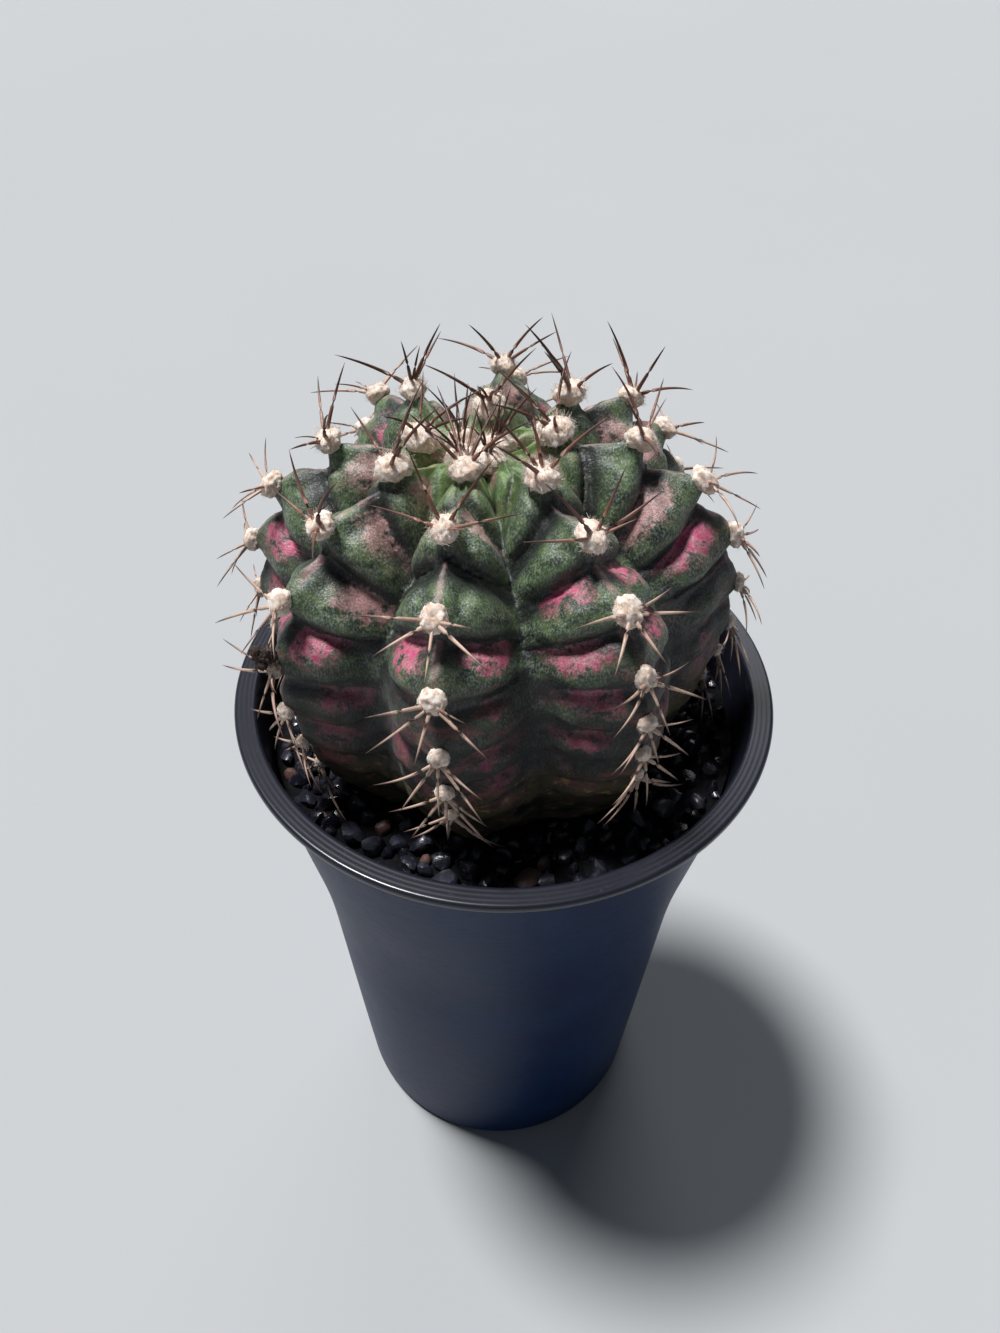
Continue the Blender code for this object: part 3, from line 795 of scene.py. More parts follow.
def finish_piece(obj, slot, *nodes):
    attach(obj, BODY)
    if nodes:
        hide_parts(*nodes)


def helper_collection(name):
    collection = bpy.data.collections.new(name)
    bpy.context.scene.collection.children.link(collection)
    return collection


def drop_collection(collection):
    for obj in list(collection.objects):
        mesh = obj.data
        bpy.data.objects.remove(obj)
        bpy.data.meshes.remove(mesh)
    bpy.data.collections.remove(collection)


def add_tube(name, line, radius_at, sides, collection, with_share=False):
    """A closed tapered tube along a line, if wanted with the share of its length as a field."""
    vertices, along = [], []
    for i, point in enumerate(line):
        ahead = line[min(i + 1, len(line) - 1)] - line[max(i - 1, 0)]
        turn = ahead.to_track_quat("Z", "Y")
        share = i / (len(line) - 1)
        for j in range(sides):
            angle = 2.0 * math.pi * j / sides
            ring = Vector((math.cos(angle), math.sin(angle), 0.0)) * radius_at(share)
            vertices.append(point + turn @ ring)
            along.append(share)
    faces = grid_faces(len(line), sides)
    faces.append(tuple(reversed(range(sides))))
    faces.append(tuple(range(len(vertices) - sides, len(vertices))))
    mesh = new_mesh(name, vertices, faces=faces)
    if with_share:
        add_field(mesh, "along", along)
    mesh.shade_smooth()
    new_object(name, mesh, collection)


def guide_object(name, rows):
    """Guide points for the scatter tree, from rows of place, turn, size, shape and tone."""
    places, turns, sizes, picks, tones = zip(*rows)
    mesh = new_mesh(name, places)
    add_field(mesh, "turn", turns, "FLOAT_VECTOR")
    add_field(mesh, "size", sizes, "FLOAT_VECTOR")
    add_field(mesh, "pick", picks, "INT")
    add_field(mesh, "tone", tones)
    return new_object(name, mesh)


# Stem

def smooth_line(points, samples):
    """A Catmull-Rom curve through the points, as a dense array."""
    ends = np.vstack([2 * points[0] - points[1], points, 2 * points[-1] - points[-2]])
    t = np.arange(samples)[:, None] / samples
    parts = []
    for i in range(1, len(ends) - 2):
        before, start, stop, after = ends[i - 1:i + 3]
        parts.append(0.5 * (2 * start + (stop - before) * t
                            + (2 * before - 5 * start + 4 * stop - after) * t ** 2
                            + (3 * (start - stop) + after - before) * t ** 3))
    return np.vstack([*parts, points[-1]])


class Crest:
    """The crest line of a rib, read by arc length from the foot."""

    def __init__(self):
        self.line = smooth_line(np.array(CREST_LINE) * MM, CREST_SAMPLES)
        steps = np.linalg.norm(np.diff(self.line, axis=0), axis=1)
        self.lengths = np.concatenate([[0.0], np.cumsum(steps)])
        self.length = self.lengths[-1]
        self.slopes = np.gradient(self.line, self.lengths, axis=0)
        self.slopes /= np.linalg.norm(self.slopes, axis=1)[:, None]

    def read(self, table, length):
        return np.stack([np.interp(length, self.lengths, table[:, i]) for i in (0, 1)], -1)

    def point(self, length):
        return self.read(self.line, length)

    def tangent(self, length):
        slope = self.read(self.slopes, length)
        return slope / np.linalg.norm(slope, axis=-1, keepdims=True)

    def at_angle(self, degrees):
        angles = np.degrees(np.arctan2(self.line[:, 1] - AREOLE_CENTRE, self.line[:, 0]))
        return self.lengths[np.argmin(np.abs(angles - degrees))]


CREST = Crest()


def plant_matrix():
    left = Matrix.Rotation(math.radians(-LEAN_LEFT), 4, "Y")
    back = Matrix.Rotation(math.radians(-LEAN_BACK), 4, "X")
    return Matrix.Translation(PLANT_PLACE) @ left @ back


def areole_angles(rib):
    """Angles of a rib's areoles, wider apart near the crown, with the extra ones below."""
    _, _, first, last, count, shown = rib
    angles = []
    for share in shares(count):
        angles.append(first + (last - first) * share * (1.0 + AREOLE_CROWDING * (1.0 - share)))
    for _ in range(shown - count):
        angles.append(angles[-1] - EXTRA_STEP)
    return angles


def stations(rib):
    """Arc lengths of a rib's areoles and of the places above and below them, and their index."""
    lengths = [CREST.at_angle(angle) for angle in areole_angles(rib)]
    upper = (lengths[0] - lengths[1]) * SPARE_SPACING
    lower = lengths[-2] - lengths[-1]
    above = [lengths[0] + upper * i for i in range(SPARE_ABOVE, 0, -1)]
    below = [lengths[-1] - lower * i for i in range(1, SPARE_BELOW + 1)]
    places = above + lengths + below
    return np.array(places), np.arange(len(places)) - len(above)


def soft_step(value, low, high):
    t = np.clip((value - low) / (high - low), 0.0, 1.0)
    return t * t * (3.0 - 2.0 * t)


def side_lobe(phase, across, reach):
    """Height of a tubercle's side: a roll with a round end by the furrow, hollow above it."""
    away = phase - LOBE_PHASE
    upper = away < 0.0
    size = np.where(upper, away / LOBE_ABOVE, away / LOBE_BELOW)
    body = np.clip(1.0 - size ** 2 - (across / reach) ** LOBE_BLUNTNESS, 0.0, 1.0)
    saddle = 1.0 - SADDLE_DEPTH * np.exp(-((across - SADDLE_PLACE) / SADDLE_WIDTH) ** 2)
    return body ** np.where(upper, LOBE_UPPER_FALL, LOBE_LOWER_FALL) * saddle


def keel(phase):
    """Height along the crest: a ramp up to the areole and a steep nose down to the notch."""
    ramp = (1.0 - KEEL_RAMP) + KEEL_RAMP * (phase / AREOLE_PHASE) ** 1.2
    nose = 1.0 - KEEL_RAMP * soft_step(phase, AREOLE_PHASE + 0.03, 0.93)
    return np.where(phase < AREOLE_PHASE, ramp, nose)


def rib_offset(number, side, across, length, luck, depth):
    """One flank of a rib: offset from the crest surface, phase, two chances, lobe height."""
    rise = length / CREST.length
    places, index = stations(RIBS[number])
    count = np.interp(-length, -places, index)
    slant = np.interp(rise, SHAPE_RISE, LOBE_SLANT)
    moved = count + AREOLE_PHASE - 1.0 - slant * across ** 1.2
    lobe = np.floor(moved)
    phase = moved - lobe
    chance = luck[:, number, lobe.astype(int) % LUCK_TUBERCLES, side]
    height = np.interp(rise, SHAPE_RISE, LOBE_HEIGHT) * MM * (0.85 + 0.3 * chance[0])
    crest = np.exp(-(across / KEEL_WIDTH) ** 2)
    reach = np.interp(rise, SHAPE_RISE, LOBE_REACH) * (0.93 + 0.14 * chance[1])
    swell = side_lobe(phase, across, reach)
    swell = swell * (1.0 - crest) + keel(phase) * crest
    below = 0.5 * np.pi * rise / FURROW_DEEPEST_AT
    above = 0.5 * np.pi * (1.0 - rise) / (1.0 - FURROW_DEEPEST_AT)
    fall = np.where(rise < FURROW_DEEPEST_AT, np.sin(below) ** 2,
                    np.maximum(np.sin(above), 0.0) ** 0.85)
    offset = -depth * fall * across ** np.interp(rise, SHAPE_RISE, RIB_SQUARENESS)
    return offset - height * (1.0 - swell), phase, chance[0], chance[1], swell


def stem_arrays(depth):
    """Vertices of the stem as a grid of rows and columns, with its attributes."""
    luck = np.random.default_rng(LUCK_SEED).random((2, len(RIBS), LUCK_TUBERCLES, 2))
    azimuths = np.array([rib[1] for rib in RIBS])
    buried = np.linspace(STEM_START, GRAVEL_RISE, STEM_ROWS_BURIED, endpoint=False)
    open_air = GRAVEL_RISE + (STEM_END - GRAVEL_RISE) * np.linspace(0.0, 1.0, STEM_ROWS)
    rows = np.concatenate([buried, open_air]) * CREST.length
    columns = azimuths[0] + 360.0 * np.arange(STEM_COLUMNS) / STEM_COLUMNS
    length, azimuth = np.meshgrid(rows, columns, indexing="ij")
    best = np.zeros_like(length)
    names = ("across", "phase", "patch", "spot", "swell")
    fields = {name: np.zeros_like(length) for name in (*names, "crease")}
    blend = np.interp(length / CREST.length, SHAPE_RISE, FURROW_BLEND) * MM
    for i in range(len(RIBS)):
        j = (i + 1) % len(RIBS)
        start = azimuths[i]
        stop = azimuths[j] + (360.0 if j == 0 else 0.0)
        here = (azimuth >= start) & (azimuth < stop)
        half = 0.5 * (stop - start)
        sides = ((azimuth[here] - start) / half, (stop - azimuth[here]) / half)
        one = rib_offset(i, 1, sides[0], length[here], luck, depth)
        two = rib_offset(j, 0, sides[1], length[here], luck, depth)
        gap = one[0] - two[0]
        best[here] = 0.5 * (one[0] + two[0] + np.sqrt(gap ** 2 + blend[here] ** 2))
        for name, first, second in zip(names, (sides[0], *one[1:]), (sides[1], *two[1:])):
            fields[name][here] = np.where(gap > 0, first, second)
        # Painted shade: dark green along the crease where two ribs meet
        fields["crease"][here] = np.exp(-np.abs(gap) / CREASE_SHADE_WIDTH)
    phase = fields.pop("phase")
    fields["hollow"] = soft_step(phase, -0.02, 0.14) * np.clip(1.15 - phase / 0.6, 0.0, 1.0)
    # top: the upward-facing part of each tubercle, which gets painted light and sheen
    fields["top"] = soft_step(phase, 0.20, 0.50) * (1.0 - soft_step(phase, 0.72, 0.94))
    # Painted shade: the underside of each tubercle joins the crease's dark green
    under = soft_step(phase, 0.84, 0.97) * soft_step(fields["across"], 0.05, 0.2)
    fields["crease"] = np.maximum(fields["crease"], 0.8 * under)
    fields["rise"] = length / CREST.length
    tangent = CREST.tangent(length)
    normal = np.stack([tangent[..., 1], -tangent[..., 0]], -1)
    shape = CREST.point(length) + normal * best[..., None]
    angle = np.radians(azimuth)
    place = np.stack([shape[..., 0] * np.sin(angle), -shape[..., 0] * np.cos(angle),
                      shape[..., 1]], -1)
    return place, fields


def ripple(points, size, depth, seed):
    """Points moved by noise along the line from the stem's middle; size and depth in mm."""
    out = points - np.array([0.0, 0.0, AREOLE_CENTRE])
    out = out / np.maximum(np.linalg.norm(out, axis=1, keepdims=True), 1e-9)
    shift = Vector((seed, 2.0 * seed, 3.0 * seed))
    amount = [rough(Vector(p) / (size * MM) + shift, decay=0.6) for p in points]
    return points + out * np.array(amount)[:, None] * (depth * MM)


def build_stem(look, material):
    """The ribbed stem as one closed skin."""
    place, fields = stem_arrays(look.furrow_depth)
    rows, columns = place.shape[:2]
    points = place.reshape(-1, 3)
    for size, depth, seed in STEM_RIPPLES:
        points = ripple(points, size, depth, seed)
    count = len(points)
    poles = np.array([[0.0, 0.0, CREST.line[0][1]], [0.0, 0.0, points[-columns:, 2].mean()]])
    faces = grid_faces(rows, columns)
    for j in range(columns):
        k = (j + 1) % columns
        faces.append((k, j, count))
        faces.append((count - columns + j, count - columns + k, count + 1))
    mesh = new_mesh("stem_skin", np.vstack([points, poles]), faces=faces)
    for name, values in fields.items():
        ends = [values[0].mean(), values[-1].mean()]
        add_field(mesh, name, np.concatenate([values.ravel(), ends]))
    mesh.transform(plant_matrix())
    mesh.materials.append(material)
    mesh.shade_smooth()
    finish_piece(new_object("stem_skin", mesh), "stem", "stem")


# Areoles

def areole_list():
    """The ribs' areoles: rib, number, angle and frame, with +Y up the rib and +Z outwards."""
    found = []
    for rib in RIBS:
        out = level(rib[1])
        for i, angle in enumerate(areole_angles(rib)):
            length = CREST.at_angle(angle)
            point = CREST.point(length)
            tangent = CREST.tangent(length)
            z_axis = out * tangent[1] - UP * tangent[0]
            y_axis = out * tangent[0] + UP * tangent[1]
            matrix = Matrix((y_axis.cross(z_axis), y_axis, z_axis)).transposed().to_4x4()
            matrix.translation = out * point[0] + UP * point[1]
            found.append({"rib": rib[0], "number": i + 1, "angle": angle,
                          "matrix": plant_matrix() @ matrix})
    return found


def crown_list():
    """The youngest areoles, in the middle of the crown."""
    found = []
    for radius, azimuth in CROWN_AREOLES:
        angle = math.radians(azimuth)
        turn = Matrix.Rotation(angle + math.pi, 4, "Z")
        tilt = Matrix.Rotation(math.radians(CROWN_TILT), 4, "X")
        place = Vector((radius * math.sin(angle), -radius * math.cos(angle), CROWN_HEIGHT)) * MM
        matrix = plant_matrix() @ Matrix.Translation(place) @ (turn @ tilt)
        found.append({"rib": "crown", "number": len(found) + 1, "angle": CROWN_ANGLE,
                      "matrix": matrix})
    return found


def areoles_by_rib():
    groups = {}
    for areole in areole_list() + crown_list():
        groups.setdefault(areole["rib"], []).append(areole)
    return groups


def pad_shape(areole, look):
    """A lumpy felt cushion, with a pit in its top where it is old."""
    angle = areole["angle"]
    radius = np.interp(angle, PAD_ANGLES, PAD_RADII) * look.pad_radius
    height = np.interp(angle, PAD_ANGLES, PAD_HEIGHTS) * look.pad_height
    old = float(np.interp(angle, WEAR_ANGLES, PAD_WEAR))
    flowered = (areole["rib"], areole["number"]) == (FLOWER_RIB, FLOWER_AREOLE)
    soiled = FLOWER_SOIL if flowered else 0.0
    rng = random.Random(f"{areole['rib']}{areole['number']}")
    shift = random_vector(rng, 50)
    pit = Vector((rng.uniform(-0.2, 0.2), rng.uniform(-0.25, 0.15)))
    wide = radius * rng.uniform(*PAD_WIDTHS)
    long = radius * rng.uniform(*PAD_LENGTHS)
    shape = bmesh.new()
    bmesh.ops.create_icosphere(shape, subdivisions=4, radius=1.0)
    points, worn, fluff = [], [], []
    for vertex in shape.verts:
        ball = vertex.co.copy()
        lump = rough(ball * 1.5 + shift)
        fine = rough(ball * 6.0 + shift)
        away = (ball.xy - pit).length
        hollow = old * PIT_DEPTH * math.exp(-(away / PIT_WIDTH) ** 2) * max(ball.z, 0.0)
        place = Vector((ball.x * wide, ball.y * long, ball.z * height))
        place = place * (1.0 + 0.20 * lump + 0.06 * fine)
        place.z -= hollow * height
        points.append(areole["matrix"] @ place)
        # Browner in the old pit and on rough spots, and darker on the half against the stem as
        # painted shade
        dirt_and_shade = old * (0.35 + 1.6 * hollow + 0.6 * max(-fine, 0.0)) + 0.5 * max(-ball.z, 0.0)
        worn.append(min(1.0, dirt_and_shade + soiled))
        fluff.append(max(0.0, min(1.0, 1.6 * ball.z + 1.15)) * (1.0 - 0.55 * old))
    faces = [[v.index for v in face.verts] for face in shape.faces]
    shape.free()
    return points, faces, worn, fluff


def fibre_shapes(collection, look):
    """Bent, tapered fibres a millimetre long, to be spread over the pads."""
    rng = random.Random(FIBRE_SEED)
    for number in range(FIBRE_SHAPES):
        bend = rng.uniform(*FIBRE_BENDS)
        twist = rng.uniform(*FIBRE_TWISTS)
        line = [Vector((bend * t * t, twist * t * (1.0 - t), t)) * MM
                for t in shares(FIBRE_RINGS)]
        add_tube(f"fibre_{number}", line, lambda t: look.fibre_radius * (1.0 - FIBRE_TAPER * t),
                 FIBRE_SIDES, collection)


def build_wool(look, material):
    """One wool piece for each rib and one for the crown."""
    shapes = helper_collection("fibre_shapes")
    fibre_shapes(shapes, look)
    tree = fur_tree()
    packed = {rib[0]: rib[4] for rib in RIBS}
    for rib, group in areoles_by_rib().items():
        points, faces, worn, fluff = [], [], [], []
        for areole in group:
            pad = pad_shape(areole, look)
            faces += [[i + len(points) for i in face] for face in pad[1]]
            points += pad[0]
            worn += pad[2]
            fluff += pad[3]
        mesh = new_mesh("pads", points, faces=faces)
        add_field(mesh, "worn", worn)
        add_field(mesh, "fluff", fluff)
        mesh.shade_smooth()
        obj = new_object(f"wool_{rib}", mesh)
        grow(obj, tree, {"Shapes": shapes, "Density": look.fibre_density,
                         "Length": look.fibre_length, "Tilt": FIBRE_TILT, "Seed": len(rib),
                         "Material": material})
        if rib == "crown":
            finish_piece(obj, "wool", "crown_wool")
        else:
            finish_piece(obj, "wool", *[f"areole_{rib}_{i + 1}" for i in range(packed[rib])])
    drop_collection(shapes)


def spine_shapes(collection, look):
    """Unit spines of three bends: swollen root, long taper, sharp tip, curved towards +Y."""
    def taper(t):
        swell = 0.35 * math.exp(-(t / 0.07) ** 2)
        return look.spine_radius * (swell + (1.0 - t) ** 0.62 * 0.94 + 0.06)

    for number, bend in enumerate(SPINE_BENDS):
        line = [Vector((0.0, bend * (t * t - 0.25 * t) * SPINE_UNIT, t * SPINE_UNIT)) * MM
                for t in shares(SPINE_RINGS)]
        add_tube(f"spine_{number}", line, taper, SPINE_SIDES, collection, with_share=True)


def spine_guides(group):
    """Guide points of a rib's spines: place, turn, size, shape and tone."""
    rows = []
    for areole in group:
        rng = random.Random(f"{areole['rib']}{areole['number']}")
        fan = next(SPINE_FANS[name] for name, least in FAN_LIMITS if areole["angle"] >= least)
        for direction, lift, length, dark in fan:
            turn = math.radians(direction + rng.uniform(*VARY_DIRECTION))
            rise = math.radians(lift + rng.uniform(*VARY_LIFT))
            heading = Vector((math.sin(turn) * math.cos(rise), -math.cos(turn) * math.cos(rise),
                              math.sin(rise)))
            side = (heading * heading.z - UP).normalized()
            axes = Matrix((side.cross(heading), side, heading)).transposed()
            spin = Matrix.Rotation(math.radians(rng.uniform(*VARY_SPIN)), 3, heading)
            local = (spin @ axes).to_4x4()
            local.translation = heading * SPINE_OUT * MM + SPINE_ROOT
            world = areole["matrix"] @ local
            stretch = length / SPINE_UNIT * rng.uniform(*VARY_LENGTH)
            thick = rng.uniform(*VARY_WIDTH) * min(1.0, 0.55 + 0.045 * length)
            rows.append((world.translation, tuple(world.to_euler("XYZ")),
                         (thick, stretch, stretch), rng.randrange(len(SPINE_BENDS)),
                         min(1.0, max(0.0, dark + rng.uniform(*VARY_TONE)))))
    return rows


def build_spines(look, material):
    """One piece of spines for each rib and one for the crown."""
    shapes = helper_collection("spine_shapes")
    spine_shapes(shapes, look)
    tree = scatter_tree()
    for rib, group in areoles_by_rib().items():
        obj = guide_object(f"spines_{rib}", spine_guides(group))
        grow(obj, tree, {"Shapes": shapes, "Size": 1.0, "Material": material})
        finish_piece(obj, "spines")
    drop_collection(shapes)


# Gravel

def stone_shapes(collection):
    """Angular, slightly worn stones: spheres cut by random planes."""
    rng = random.Random(STONE_SEED)
    for number in range(STONE_SHAPES):
        shape = bmesh.new()
        bmesh.ops.create_icosphere(shape, subdivisions=2, radius=1.0)
        planes = []
        for _ in range(STONE_CUTS):
            normal = Vector((rng.gauss(0, 1), rng.gauss(0, 1), rng.gauss(0, 1))).normalized()
            planes.append((normal, rng.uniform(*STONE_CUT_DEPTHS)))
        stretch = Vector([rng.uniform(*span) for span in STONE_STRETCH])
        shift = random_vector(rng, 9)
        for vertex in shape.verts:
            for normal, limit in planes:
                beyond = vertex.co.dot(normal) - limit
                if beyond > 0.0:
                    vertex.co -= normal * beyond * 0.95
            vertex.co *= 1.0 + 0.05 * noise.noise(vertex.co * 2.0 + shift)
            vertex.co = vertex.co * stretch * MM
        mesh = mesh_from(shape, f"stone_{number}")
        mesh.shade_smooth()
        mesh.set_sharp_from_angle(angle=math.radians(STONE_EDGE))
        new_object(f"stone_{number}", mesh, collection)


def stem_reach(furrow_depth):
    """Radius of the stem at the gravel, read by azimuth in whole degrees round the pot's axis."""
    place, _ = stem_arrays(furrow_depth)
    turn = plant_matrix()
    reach = np.zeros(360)
    for p in place[::2, ::2].reshape(-1, 3):
        world = turn @ Vector(p)
        if STEM_BAND[0] < world.z - GRAVEL_TOP < STEM_BAND[1]:
            azimuth = int(math.degrees(math.atan2(world.x, -world.y))) % 360
            reach[azimuth] = max(reach[azimuth], world.xy.length)
    for i in range(360):
        if reach[i] == 0.0:
            reach[i] = max(reach[i - 1], reach[(i + 1) % 360])
    return reach


def drop_stones(look, furrow_depth):
    """Stone places, layer by layer, clear of the stem, the wall and most of each other."""
    rng = random.Random(STONE_LAYER_SEED)
    reach = stem_reach(furrow_depth)
    wall = wall_radius(GRAVEL_TOP) - WALL_INSET
    accents = [(x * MM, y * MM, GRAVEL_TOP + ACCENT_LIFT, radius * MM, tone, stretch)
               for x, y, radius, tone, stretch in STONE_ACCENTS]
    stones = list(accents)
    for lift, small, large, tries in STONE_LAYERS:
        layer = []
        for _ in range(tries):
            radius = rng.uniform(small, large) * MM * look.stone_size
            azimuth = rng.uniform(0.0, 360.0)
            outer = wall - WALL_SPACING * radius
            inner = reach[int(azimuth)] + STEM_SPACING * radius
            span = inner + (outer - inner) * rng.random()
            if outer <= inner:
                continue
            angle = math.radians(azimuth)
            x, y = span * math.sin(angle), -span * math.cos(angle)
            if all((x - s[0]) ** 2 + (y - s[1]) ** 2 > (STONE_SPACING * (radius + s[3])) ** 2
                   for s in layer + accents):
                height = GRAVEL_TOP + lift * MM + rng.uniform(*STONE_JITTER) * MM
                tone = rng.random() ** TONE_POWER
                if rng.random() < BROWN_SHARE:
                    tone = BROWN_TONE
                layer.append((x, y, height, radius, tone, 1.0))
        stones += layer
    return stones


def build_gravel(look, furrow_depth, material):
    """The loose stones, kept clear of a stem with furrows of that depth."""
    shapes = helper_collection("stone_shapes")
    stone_shapes(shapes)
    rng = random.Random(STONE_TURN_SEED)
    rows = []
    for x, y, z, radius, tone, stretch in drop_stones(look, furrow_depth):
        tilt = ACCENT_TILT if stretch > 1.0 else ANY_TURN
        turn = tuple(rng.uniform(-limit, limit) for limit in (tilt, tilt, ANY_TURN))
        size = radius / MM
        rows.append(((x, y, z), turn, (size * stretch, size, size),
                     rng.randrange(STONE_SHAPES), tone))
    obj = guide_object("gravel_stones", rows)
    grow(obj, scatter_tree(), {"Shapes": shapes, "Size": 1.0, "Material": material})
    finish_piece(obj, "gravel")
    drop_collection(shapes)


# Pot

def wall_radius(height):
    """Outer radius of the pot's wall, whose slope grows between the flare's two heights."""
    bend = FLARE_HIGH - FLARE_LOW
    into_bend = min(max(height - FLARE_LOW, 0.0), bend)
    above_bend = max(height - FLARE_HIGH, 0.0)
    extra = FLARE_SLOPE - WALL_SLOPE
    return BASE_RADIUS + WALL_SLOPE * height + extra * (0.5 * into_bend ** 2 / bend + above_bend)


def arc(x, z, radius, start, stop, steps):
    angles = [math.radians(start + (stop - start) * share) for share in shares(steps + 1)]
    return [(x + radius * math.cos(angle), z + radius * math.sin(angle)) for angle in angles]


def pot_outline(look):
    """Outline of the wall as (radius, height), from the inner floor over the rim to the base."""
    wall, floor = look.wall_thickness, look.floor_thickness
    low = POT_HEIGHT - look.rim_thickness
    heights = (*LOW_HEIGHTS, *np.linspace(FLARE_LOW, FLARE_HIGH, 7), HIGH_HEIGHT)
    corner = wall_radius(low) - wall + RIM_ROUND
    edge = RIM_RADIUS - RIM_ROUND
    neck = wall_radius(low) + NECK_GAP
    outline = [(0.0, floor), (0.5 * BASE_RADIUS, floor)]
    outline += arc(wall_radius(floor) - wall - FLOOR_ROUND, floor + FLOOR_ROUND, FLOOR_ROUND,
                   -90, 0, 5)
    outline += [(wall_radius(h) - wall, h) for h in (*heights, low)]
    outline += arc(corner, POT_HEIGHT - RIM_ROUND, RIM_ROUND, 180, 90, 5)[1:]
    for share in shares(RIM_STEPS + 1)[1:-1]:
        groove = GROOVE_DEPTH * (1.0 - math.cos(2.0 * RIM_GROOVES * math.pi * share))
        outline.append((corner + (edge - corner) * share, POT_HEIGHT - groove))
    outline += arc(edge, POT_HEIGHT - RIM_ROUND, RIM_ROUND, 90, 0, 6)
    outline += arc(edge, low + RIM_ROUND, RIM_ROUND, 0, -90, 5)
    outline += [(neck, low)]
    outline += arc(neck, low - NECK_ROUND, NECK_ROUND, 90, 180, 4)[1:]
    outline += [(wall_radius(h), h) for h in reversed(heights)]
    outline += arc(BASE_RADIUS - BASE_ROUND, BASE_ROUND, BASE_ROUND, 0, -90, 7)
    outline += [(0.5 * BASE_RADIUS, 0.0), (0.0, 0.0)]
    return outline


def build_pot(look, material):
    """The pot's wall and floor in one piece."""
    points = [(radius - 1.0, -height, 0.0) for radius, height in pot_outline(look)]
    mesh = new_mesh("pot_outline", points, [(i, i + 1) for i in range(len(points) - 1)])
    obj = new_object("pot_wall", mesh)
    grow(obj, lathe_tree(), {"Steps": look.pot_steps, "Holes": DRAIN_HOLES,
                             "Hole Radius": DRAIN_RADIUS, "Hole Circle": DRAIN_CIRCLE,
                             "Material": material})
    shape = bmesh.new()
    shape.from_mesh(obj.data)
    bmesh.ops.remove_doubles(shape, verts=shape.verts, dist=0.5 * SEAM_GAP)
    bmesh.ops.recalc_face_normals(shape, faces=shape.faces)
    shape.to_mesh(obj.data)
    shape.free()
    obj.data.shade_smooth()
    obj.data.set_sharp_from_angle(angle=math.radians(POT_EDGE))
    finish_piece(obj, "pot", "pot")


# Dried flower

def add_knot(shape, centre, radius, height, rng):
    """A closed, wrinkled lump."""
    made = bmesh.ops.create_icosphere(shape, subdivisions=4, radius=1.0)
    shift = random_vector(rng, 30)
    for vertex in made["verts"]:
        ball = vertex.co.copy()
        fold = abs(noise.noise(ball * 2.6 + shift))
        fine = rough(ball * 6.0 + shift, octaves=2)
        grown = 0.82 + 0.55 * fold + 0.06 * fine
        vertex.co = centre + Vector((ball.x * radius, ball.y * radius, ball.z * height)) * grown


def add_petal(shape, rng, angle):
    """A thin closed blade that curls over from the top of the flower's rest."""
    length = rng.uniform(*PETAL_LENGTHS) * MM
    width = rng.uniform(*PETAL_WIDTHS) * MM
    curl = rng.uniform(*PETAL_CURLS)
    lean = rng.uniform(*PETAL_LEANS)
    out = Vector((math.cos(angle + lean), math.sin(angle + lean), 0.0))
    across = Vector((-out.y, out.x, 0.0))
    point = Vector((math.cos(angle), math.sin(angle), 0.0)) * PETAL_CIRCLE * MM
    point.z = PETAL_START
    bend = PETAL_BEND
    rows = []
    for t in shares(PETAL_STEPS + 1):
        half = width * (0.35 + 0.65 * math.sin(math.pi * min(1.0, 0.15 + t * 0.85))) * 0.5
        fold = 0.25 * width * math.cos(2.0 * t)
        normal = out * math.cos(bend) - UP * math.sin(bend)
        thick = PETAL_THICKNESS * (1.0 - 0.6 * t)
        ring = []
        for side, lift in ((-1, 0), (0, -1), (1, 0), (0, 1)):
            place = point + across * half * side + normal * (thick * lift)
            place += normal * (fold if side == 0 else 0.0)
            ring.append(shape.verts.new(place))
        rows.append(ring)
        bend += curl / PETAL_STEPS
        ahead = out * math.sin(bend) + UP * math.cos(bend)
        point = point + ahead * length / PETAL_STEPS
    for lower, upper in zip(rows, rows[1:]):
        for j in range(4):
            k = (j + 1) % 4
            shape.faces.new((lower[j], lower[k], upper[k], upper[j]))
    shape.faces.new(list(reversed(rows[0])))
    shape.faces.new(rows[-1])


def build_flower(material):
    """The shrivelled rest of a flower: a short wrinkled stalk and a knot of curled petals."""
    areole = next(a for a in areole_list()
                  if a["rib"] == FLOWER_RIB and a["number"] == FLOWER_AREOLE)
    rng = random.Random(FLOWER_SEED)
    shape = bmesh.new()
    for x, y, z, radius, height in FLOWER_KNOTS:
        add_knot(shape, Vector((x, y, z)) * MM, radius * MM, height * MM, rng)
    for number in range(PETAL_COUNT):
        add_petal(shape, rng, 2.0 * math.pi * number / PETAL_COUNT)
    bmesh.ops.recalc_face_normals(shape, faces=shape.faces)
    mesh = mesh_from(shape, "dried_flower_petals")
    mesh.transform(areole["matrix"] @ Matrix.Translation(FLOWER_PLACE))
    mesh.materials.append(material)
    mesh.shade_smooth()
    finish_piece(new_object("dried_flower_petals", mesh), "dried_flower", "dried_flower")


# Stage

